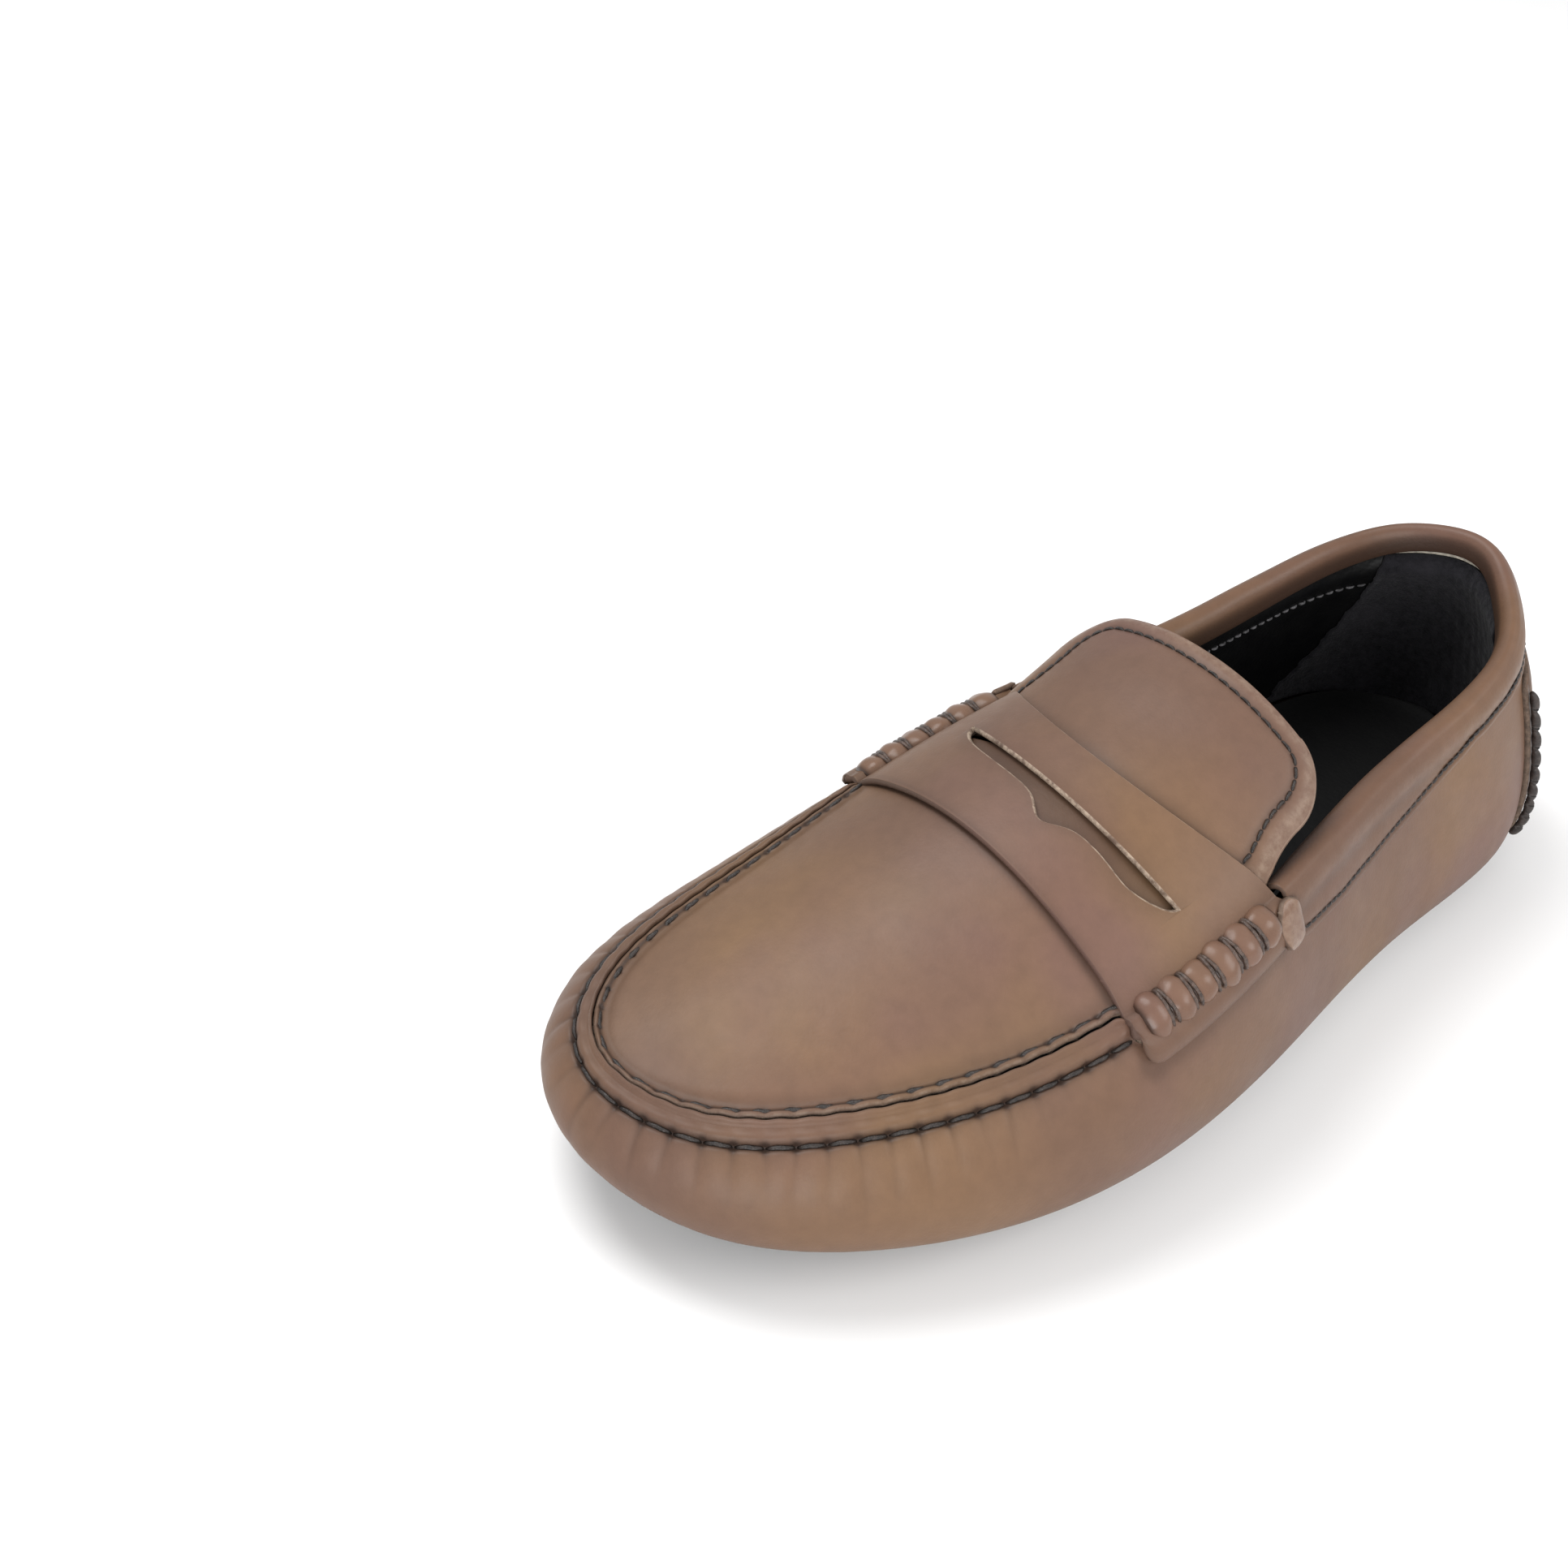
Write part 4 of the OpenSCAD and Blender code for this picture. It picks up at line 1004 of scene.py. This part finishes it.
def collar():
    """The padded fold over the top line: its outer band, then the roll over the edge and down inside."""
    rows = 900
    front = COLLAR_FRONT + 0.08       # tucked under the strap's corner
    u = np.linspace(-front, front, rows)
    end = np.clip((front - np.abs(u)) / 0.14, 0, 1)
    low = (collar_low(u) + 0.08 * (1 - np.sqrt(1 - (1 - end) ** 2)))[:, None]
    v = low + (0.995 - low) * np.linspace(0, 1, 40)
    below = run_down(wall(u[:, None], v))
    from_low = below[:, :1] - below
    run = arc_length(wall(u, 1.0))[:, None]
    out = 1.45 + 0.45 * bell(below - 1.6, 2.2) - 0.22 * bell(below - 5.6, 2.0)
    out -= 0.38 * bell(from_low - 2.1, 0.9) + 0.35 * bell(from_low, 0.6)
    wrinkle = np.sin(run / 3.1 + 1.7 * np.sin(run / 11.0)) * np.sin(run / 7.3 + 0.9)
    out += 0.10 * wrinkle * bell(below - 4, 4) + 0.05 * np.sin(run / 1.9 + below / 1.5) * bell(below - 6, 3)
    outer = wall(u[:, None], v, -out)
    # the roll's section as depth into the shoe and height over the top line
    roll = [(-1.45, 0.3), (-0.55, 1.7), (0.7, 2.6), (2.2, 2.9), (3.8, 2.45), (4.9, 1.2), (5.5, -0.6),
            (5.8, -2.4), (5.75, -3.6)]
    depth, height = through(roll, 46)[1:].T
    swell = 1 + 0.05 * np.sin(run / 9.0) + 0.03 * np.sin(run / 4.1 + 2.0)
    reach = depth * np.where(depth > 0, collar_reach(u)[:, None], 1)
    over = wall(u[:, None], 1.0, reach, height * np.where(height > 0, swell, 1))
    surface = np.concatenate([outer, over], 1)
    cols = surface.shape[1]
    core = np.repeat(wall(u, 0.9, 2.0), cols, axis=0)
    # painted shade in the band's crease and in the groove at its stitches, darkening down the inside of the
    # shoe, and painted shadow at the ends under the strap
    shade = 0.22 * bell(below - 4.6, 1.6) + 0.55 * bell(from_low - 2.1, 0.8)
    inner_shade = np.broadcast_to(0.85 * smooth(4.6, 5.7, depth), over.shape[:2])
    shade = np.concatenate([shade + 0.5 * (1 - smooth(0.0, 0.7, end))[:, None], inner_shade], 1)
    fibre = np.concatenate([0.04 * bell(below - 2.0, 1.8) + 0.03 * bell(from_low - 4.5, 1.4),
                            np.zeros(over.shape[:2])], 1)
    sheet("collar_leather", surface, grid_faces(rows, cols), 1.15, [LEATHER_COLLAR, EDGE, BLACK],
          lambda p: p - core if len(p) == len(core) else sideways(p), 0.35,
          values={"shade": np.clip(shade, 0, 1), "fibre": fibre}, stands_for=("collar",),
          slot="collar_leather")
    # stitches a little above the lower edge
    stitch_u = u[6:-6]
    stitch_v = np.array([np.interp(2.1, from_low[i], v[i]) for i in range(6, rows - 6)])
    curve = wall(stitch_u, stitch_v, -1.05)
    normal = wall(stitch_u, stitch_v, -2) - wall(stitch_u, stitch_v, -1)
    stitches = stitch_run(curve, 2.45, 0.40, 0.5, gap=0.05, normal=normal, steps=7)
    piece("collar_stitches", *stitches, [WAXED], stands_for=("collar_thread",), slot="dark_thread")
    # padding inside the fold
    foam_u = np.linspace(-COLLAR_FRONT + 0.06, COLLAR_FRONT - 0.06, 200)
    surface = wall(foam_u[:, None], np.linspace(0.80, 0.965, 10), LEATHER + 0.2)
    sheet("collar_padding", surface, grid_faces(200, 10), 1.2, [FOAM], sideways, 0.5,
          stands_for=("collar_foam",), slot="foam")


# ---- lining and heel grip ----

def lining_depth(u, v):
    """How deep the lining lies: padded along the top line behind the strap, close to the leather in front."""
    side = from_heel(u)
    padded = LEATHER + 1.55 + 1.6 * np.clip((v - 0.7) / 0.2, 0, 1)
    padded = padded - (1.2 + 1.5 * (1 - smooth(1.5, 3.2, side))) * smooth(0.84, 0.92, v)
    return padded + (LEATHER + 0.15 - padded) * smooth(4.4, 5.3, side)


LINING_STITCH = 0.775                # height on the wall of the lining's stitch line


def lining():
    rows = 420
    u, v = (np.arange(rows) * TURN / rows)[:, None], np.linspace(0.22, 0.93, 50)
    groove = 0.35 * bell(v - LINING_STITCH, 0.018) * (1 - smooth(4.2, 4.6, from_heel(u)))
    ripple = 0.16 * np.sin(u * 9.0 + 2 * np.sin(u * 3.1)) * bell(v - 0.6, 0.25)
    surface = wall(u, v, lining_depth(u, v) - groove + ripple + LINING)
    # the sheet's outer face is the one seen from inside the shoe
    sheet("lining_leather", surface, grid_faces(rows, 50, closed=True), LINING, [BLACK],
          lambda p: -sideways(p), bends="toe", stands_for=("quarter_lining", "toe_lining"),
          slot="black_leather")
    runs = []
    for sign in (1, -1):
        stitch_u = sign * np.linspace(GRIP_TOP, COLLAR_FRONT - 0.02, 300)
        depth = lining_depth(np.abs(stitch_u), LINING_STITCH) + LINING - 0.10
        curve = wall(stitch_u, LINING_STITCH, depth)
        normal = wall(stitch_u, LINING_STITCH, depth + 1) - curve
        runs.append(stitch_run(curve, 3.0, 0.33, 0.6, gap=0.22, normal=normal))
    piece("lining_stitches", *join(runs), [GREY], stands_for=("lining_thread",), slot="grey_thread")


GRIP_TOP = 1.04                      # ring position of the suede's front edge at its top
SUEDE_THICK = 0.85


def heel_grip():
    cols, rows = 44, 260
    v = np.linspace(0.24, 0.91, cols)
    ragged = 0.018 * np.sin(v * 61) + 0.012 * np.sin(v * 147 + 1.0)
    # ring positions of the suede's front edge, read from an overlay on the photo, from below to the top
    front = np.array([2.12, 1.93, 1.68, 1.48, 1.28, 1.15, GRIP_TOP])[:, None]
    u = np.linspace(-1, 1, rows)[:, None] * (through(front, cols)[:, 0] + ragged)
    nap = 0.08 * np.sin(u * 31 + v * 40) * np.sin(u * 13 - v * 25)
    surface = wall(u, v, lining_depth(u, v) + LINING + 0.15 + SUEDE_THICK + nap)
    sheet("heel_grip_suede", surface, grid_faces(rows, cols), SUEDE_THICK, [SUEDE], lambda p: -sideways(p),
          0.4, stands_for=("heel_grip",), slot="suede")


# ---- foot bed ----

BED_FOAM, FOAM_THICK = 4.6, 3.3      # height over the underside and thickness of the cushion
BED_SOCK, SOCK_THICK = 8.4, 1.1      # and of the sock liner


def bed(margin, inset, height, rise, rows=150, cols=33):
    """A layer of the foot bed, inside the wall by inset, which rises by rise towards its edge."""
    u, s = np.linspace(margin, TIP - margin, rows)[:, None], ease(0, 1, cols)[None, :]
    p, q = [station(turn)[..., :2] + inward(turn) * inset for turn in (u, -u)]
    xy = p + s[..., None] * (q - p)
    far = np.minimum(s, 1 - s) * np.linalg.norm(q - p, axis=-1)
    z = station(u)[..., 4] + height + rise * np.exp(-far / 5.0)
    return np.concatenate([xy, np.broadcast_to(z, xy.shape[:2])[..., None]], -1)


def foot_bed():
    sock = bed(0.16, 10.6, BED_SOCK + SOCK_THICK, 1.2, rows=300, cols=61)
    sheet("sock_liner_leather", sock, grid_faces(300, 61), SOCK_THICK, [BLACK_SOCK], upwards, bends="toe",
          stands_for=("sock_liner",), slot="black_leather")
    cushion = bed(0.2, 12, BED_FOAM + FOAM_THICK + 0.1, 0.2)
    sheet("insole_cushion", cushion, grid_faces(150, 33), FOAM_THICK, [FOAM], upwards, 0.25, bends="toe",
          stands_for=("insole_foam",), slot="foam")


# ---- heel patch ----

PATCH_U, PATCH_LOW, PATCH_HIGH = 1.6, 0.14, 0.82    # half its width along the ring, its lower and upper edges
PATCH_STITCHES, PATCH_STITCH = 9, 0.068             # how many on each side, and their length up the wall


def patch_top(t):
    """Height on the wall of the patch's upper edge, t from -1 to 1 across it."""
    return PATCH_LOW + (PATCH_HIGH - PATCH_LOW) * (0.94 + 0.06 * np.sqrt(1 - t ** 2))


def heel_patch():
    rows, cols = 161, 60
    t, f = ease(-1, 1, rows)[:, None], np.linspace(0, 1, cols)[None, :]
    v = PATCH_LOW + (patch_top(t) - PATCH_LOW) * f
    from_side, from_top = (1 - np.abs(t)) * 30, (1 - f) * 42
    edge = np.minimum(from_side, from_top)
    out = 1.75 + 0.20 * bell(edge - 3.2, 1.5) - 0.45 * bell(edge, 0.8) - 0.35 * bell(from_side - 1.2, 0.7)
    surface = wall(t * PATCH_U + 0 * f, v, -out)
    # painted shade along the patch's edges, where it dips to the wall; it is also darker towards its foot
    shade = 0.6 * bell(edge - 1.0, 1.0) + 0.25 * bell(f, 0.15)
    sheet("heel_patch_leather", surface, grid_faces(rows, cols), 1.55, [LEATHER_MAIN, EDGE_DARK, FLESH],
          sideways, values={"shade": np.clip(shade, 0, 1), "fibre": 0.0}, stands_for=("heel_patch",),
          slot="brown_leather")
    starts = np.linspace(PATCH_LOW + 0.02, patch_top(1.0) - 0.015 - PATCH_STITCH, PATCH_STITCHES)
    t = np.linspace(0, 1, 13)
    dive = np.abs(2 * t - 1) ** 4
    parts = []
    for side in (1, -1):
        for start in starts:
            path = wall(side * (PATCH_U - 0.03), start + PATCH_STITCH * t, -2.0 - 0.55 * (1 - dive))
            parts.append(tube(path, 1.05 * (1 - 0.35 * dive), sides=12, ply=0.10, twist=0.5))
    piece("heel_patch_stitches", *join(parts), [CORD], stands_for=("heel_patch_thread",), slot="dark_thread")


# ---- rubber sole ----

BUMPER_REACH, BUMPER_INSET, BUMPER_HEIGHT = 1.75, 12.4, 6.0
POD_GAP = 1.4                        # points of one pod lie closer than this to each other


def pods_of(node):
    """Each pod of a CAD node as middle x, middle y, foot, head and foot radius."""
    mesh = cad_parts[node].data
    points = np.array([v.co for v in mesh.vertices]) * 1000
    points = np.unique(np.round(points, 2), axis=0)
    left = set(range(len(points)))
    groups = []
    while left:
        front = [left.pop()]
        group = list(front)
        while front:
            rest = np.array(sorted(left), int)
            if not len(rest):
                break
            gap = np.linalg.norm(points[rest][:, None, :2] - points[front][None, :, :2], axis=2).min(1)
            front = rest[gap < POD_GAP].tolist()
            group += front
            left.difference_update(front)
        groups.append(points[group])
    pods = []
    for g in groups:
        low, high = g.min(0), g.max(0)
        foot = g[g[:, 2] < low[2] + 0.3]
        pods.append([(low[0] + high[0]) / 2, (low[1] + high[1]) / 2, low[2], high[2],
                     (foot[:, 0].max() - foot[:, 0].min()) / 2])
    return np.array(sorted(pods, key=lambda p: (round(p[0]), p[1])))


def lathe(profile, x, y, sides=28):
    """Turns a profile of radius and height about the vertical line through x, y."""
    profile = np.asarray(profile, float)
    a = np.arange(sides) * 2 * math.pi / sides
    ring = np.stack([x + profile[:, :1] * np.cos(a), y + profile[:, :1] * np.sin(a),
                     np.repeat(profile[:, 1:], sides, 1)], -1)
    points = np.vstack([ring.reshape(-1, 3), [x, y, profile[0, 1]], [x, y, profile[-1, 1]]])
    return points, rod_faces(len(profile), sides)


def rubber_pods():
    for node, bends in (("heel_pods", None), ("ball_pods", "toe"), ("toe_pods", "toe")):
        parts = []
        for x, y, foot, head, r in pods_of(node):
            profile = [(r * 0.35, foot + 0.35), (r * 0.5, foot + 0.10), (r - 1.2, foot),
                       (r - 0.55, foot + 0.15), (r - 0.15, foot + 0.55), (r, foot + 1.1),
                       (r + 0.35, head - 1.4), (r + 0.9, head - 0.7), (r + 1.0, head)]
            parts.append(lathe(profile, x, y))
        piece(node.replace("_", "_rubber_"), *join(parts), [RUBBER], bends=bends, stands_for=(node,),
              slot="rubber")


def toe_bumper():
    """The bar round the toe's lower edge, which thins out towards both ends."""
    rows = 150
    u = np.linspace(TIP - BUMPER_REACH, TIP + BUMPER_REACH, rows)
    # its section as inset from the widest line and share of its height over the underside
    section = through([(17.0, 0.1), (17.0, -0.5), (16.2, -0.8), (12.8, -0.84), (11.2, -0.62), (9.8, -0.36),
                       (8.3, -0.12), (7.6, 0.15), (9.6, 0.40), (17.0, 0.1)], 44)[:-1]
    s, n = station(u), inward(u)
    taper = np.sqrt(1 - np.abs(np.linspace(-1, 1, rows)) ** 14)[:, None]
    inset = BUMPER_INSET + (section[:, 0] - BUMPER_INSET) * (0.25 + 0.75 * taper)
    height = section[:, 1] * BUMPER_HEIGHT * (0.3 + 0.7 * taper)
    ring = np.stack([s[:, :1] + n[:, :1] * inset, s[:, 1:2] + n[:, 1:] * inset, s[:, 4:5] + height], -1)
    points = np.vstack([ring.reshape(-1, 3), ring[0].mean(0), ring[-1].mean(0)])
    piece("toe_bumper_rubber", points, rod_faces(*ring.shape[:2]), [RUBBER], bends="toe",
          stands_for=("toe_bumper",), slot="rubber")


# ---- everything ----

upper_wrap()
apron_plug()
seam_threads()
saddle_strap()
for side, name in ((1, "lateral"), (-1, "medial")):
    beef_roll(side, name)
    roll_wraps(side, name)
    roll_tab(side, name)
tongue()
collar()
lining()
heel_grip()
foot_bed()
heel_patch()
rubber_pods()
toe_bumper()
for node, material, slot in (("insole_board", BOARD, "fibre_board"), ("heel_counter", BOARD, "stiffener")):
    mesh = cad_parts[node].data
    mesh.materials.clear()
    mesh.materials.append(material)

# ---- floor, light and camera ----


# The photo's camera, from the same fit as the stations: place, direction back from the shoe, roll, lens
# and shift
CAMERA_PLACE, CAMERA_BACK = (0.40439, 0.22662, 0.34640), (0.4668, 0.8228, 0.3243)
CAMERA_ROLL, CAMERA_LENS, CAMERA_SHIFT = math.radians(-0.27), 41.01, (0.1916, -0.4503)


def floor_material():
    n = Nodes("floor")
    colour = n.mix(n.spread(n.noise(3, 2.0), 0.3, 0.7), (0.80, 0.80, 0.80), (0.83, 0.83, 0.83))
    return n.finish(colour, 0.7, n.bump(n.noise(600, 2.0), 0.02, 0.0002), Specular_IOR_Level=0.2)


def add_floor():
    bpy.ops.mesh.primitive_plane_add(size=12)
    made = bpy.context.object
    made.name = "floor"
    made.data.materials.append(floor_material())


def add_light(name, place, target, size, power):
    data = bpy.data.lights.new(name, "AREA")
    data.shape, data.size, data.energy = "DISK", size, power
    made = bpy.data.objects.new(name, data)
    made.location = place
    made.rotation_mode = "QUATERNION"
    made.rotation_quaternion = (Vector(target) - Vector(place)).to_track_quat("-Z", "Y")
    bpy.context.scene.collection.objects.link(made)


def add_camera():
    data = bpy.data.cameras.new("camera")
    data.sensor_width, data.lens = 36.0, CAMERA_LENS
    data.clip_start, data.clip_end = 0.01, 50
    made = bpy.data.objects.new("camera", data)
    bpy.context.scene.collection.objects.link(made)
    place = Vector(CAMERA_PLACE) * SIZE
    made.location = place
    made.rotation_mode = "QUATERNION"
    aim = (-Vector(CAMERA_BACK).normalized()).to_track_quat("-Z", "Y")
    made.rotation_quaternion = aim @ Matrix.Rotation(CAMERA_ROLL, 3, "Z").to_quaternion()
    bpy.context.scene.camera = made
    # the lens is shifted at this place only, so that views from anywhere else stay centred
    for key, value in zip(("shift_x", "shift_y"), CAMERA_SHIFT):
        driver = data.driver_add(key).driver
        driver.type = "SCRIPTED"
        term = driver.variables.new()
        term.name = "x"
        term.type = "TRANSFORMS"
        term.targets[0].id = made
        term.targets[0].transform_type = "LOC_X"
        driver.expression = f"{value} if abs(x - {place.x:.5f}) < 0.0005 else 0"


world = bpy.data.worlds.new("world")
bpy.context.scene.world = world
world.use_nodes = True
background = world.node_tree.nodes["Background"]
background.inputs["Color"].default_value = (1.0, 1.0, 1.0, 1)
background.inputs["Strength"].default_value = 0.75
add_floor()
add_light("key", (0.35, -0.55, 1.25), (0.1, 0, 0.03), 0.9, 14)
add_light("front", (1.1, 1.1, 0.55), (0.12, 0, 0.03), 0.8, 15)
add_light("back", (-0.6, 0.9, 0.9), (0.1, 0, 0.05), 0.8, 9)
add_camera()
bpy.context.scene.view_settings.view_transform = "Standard"
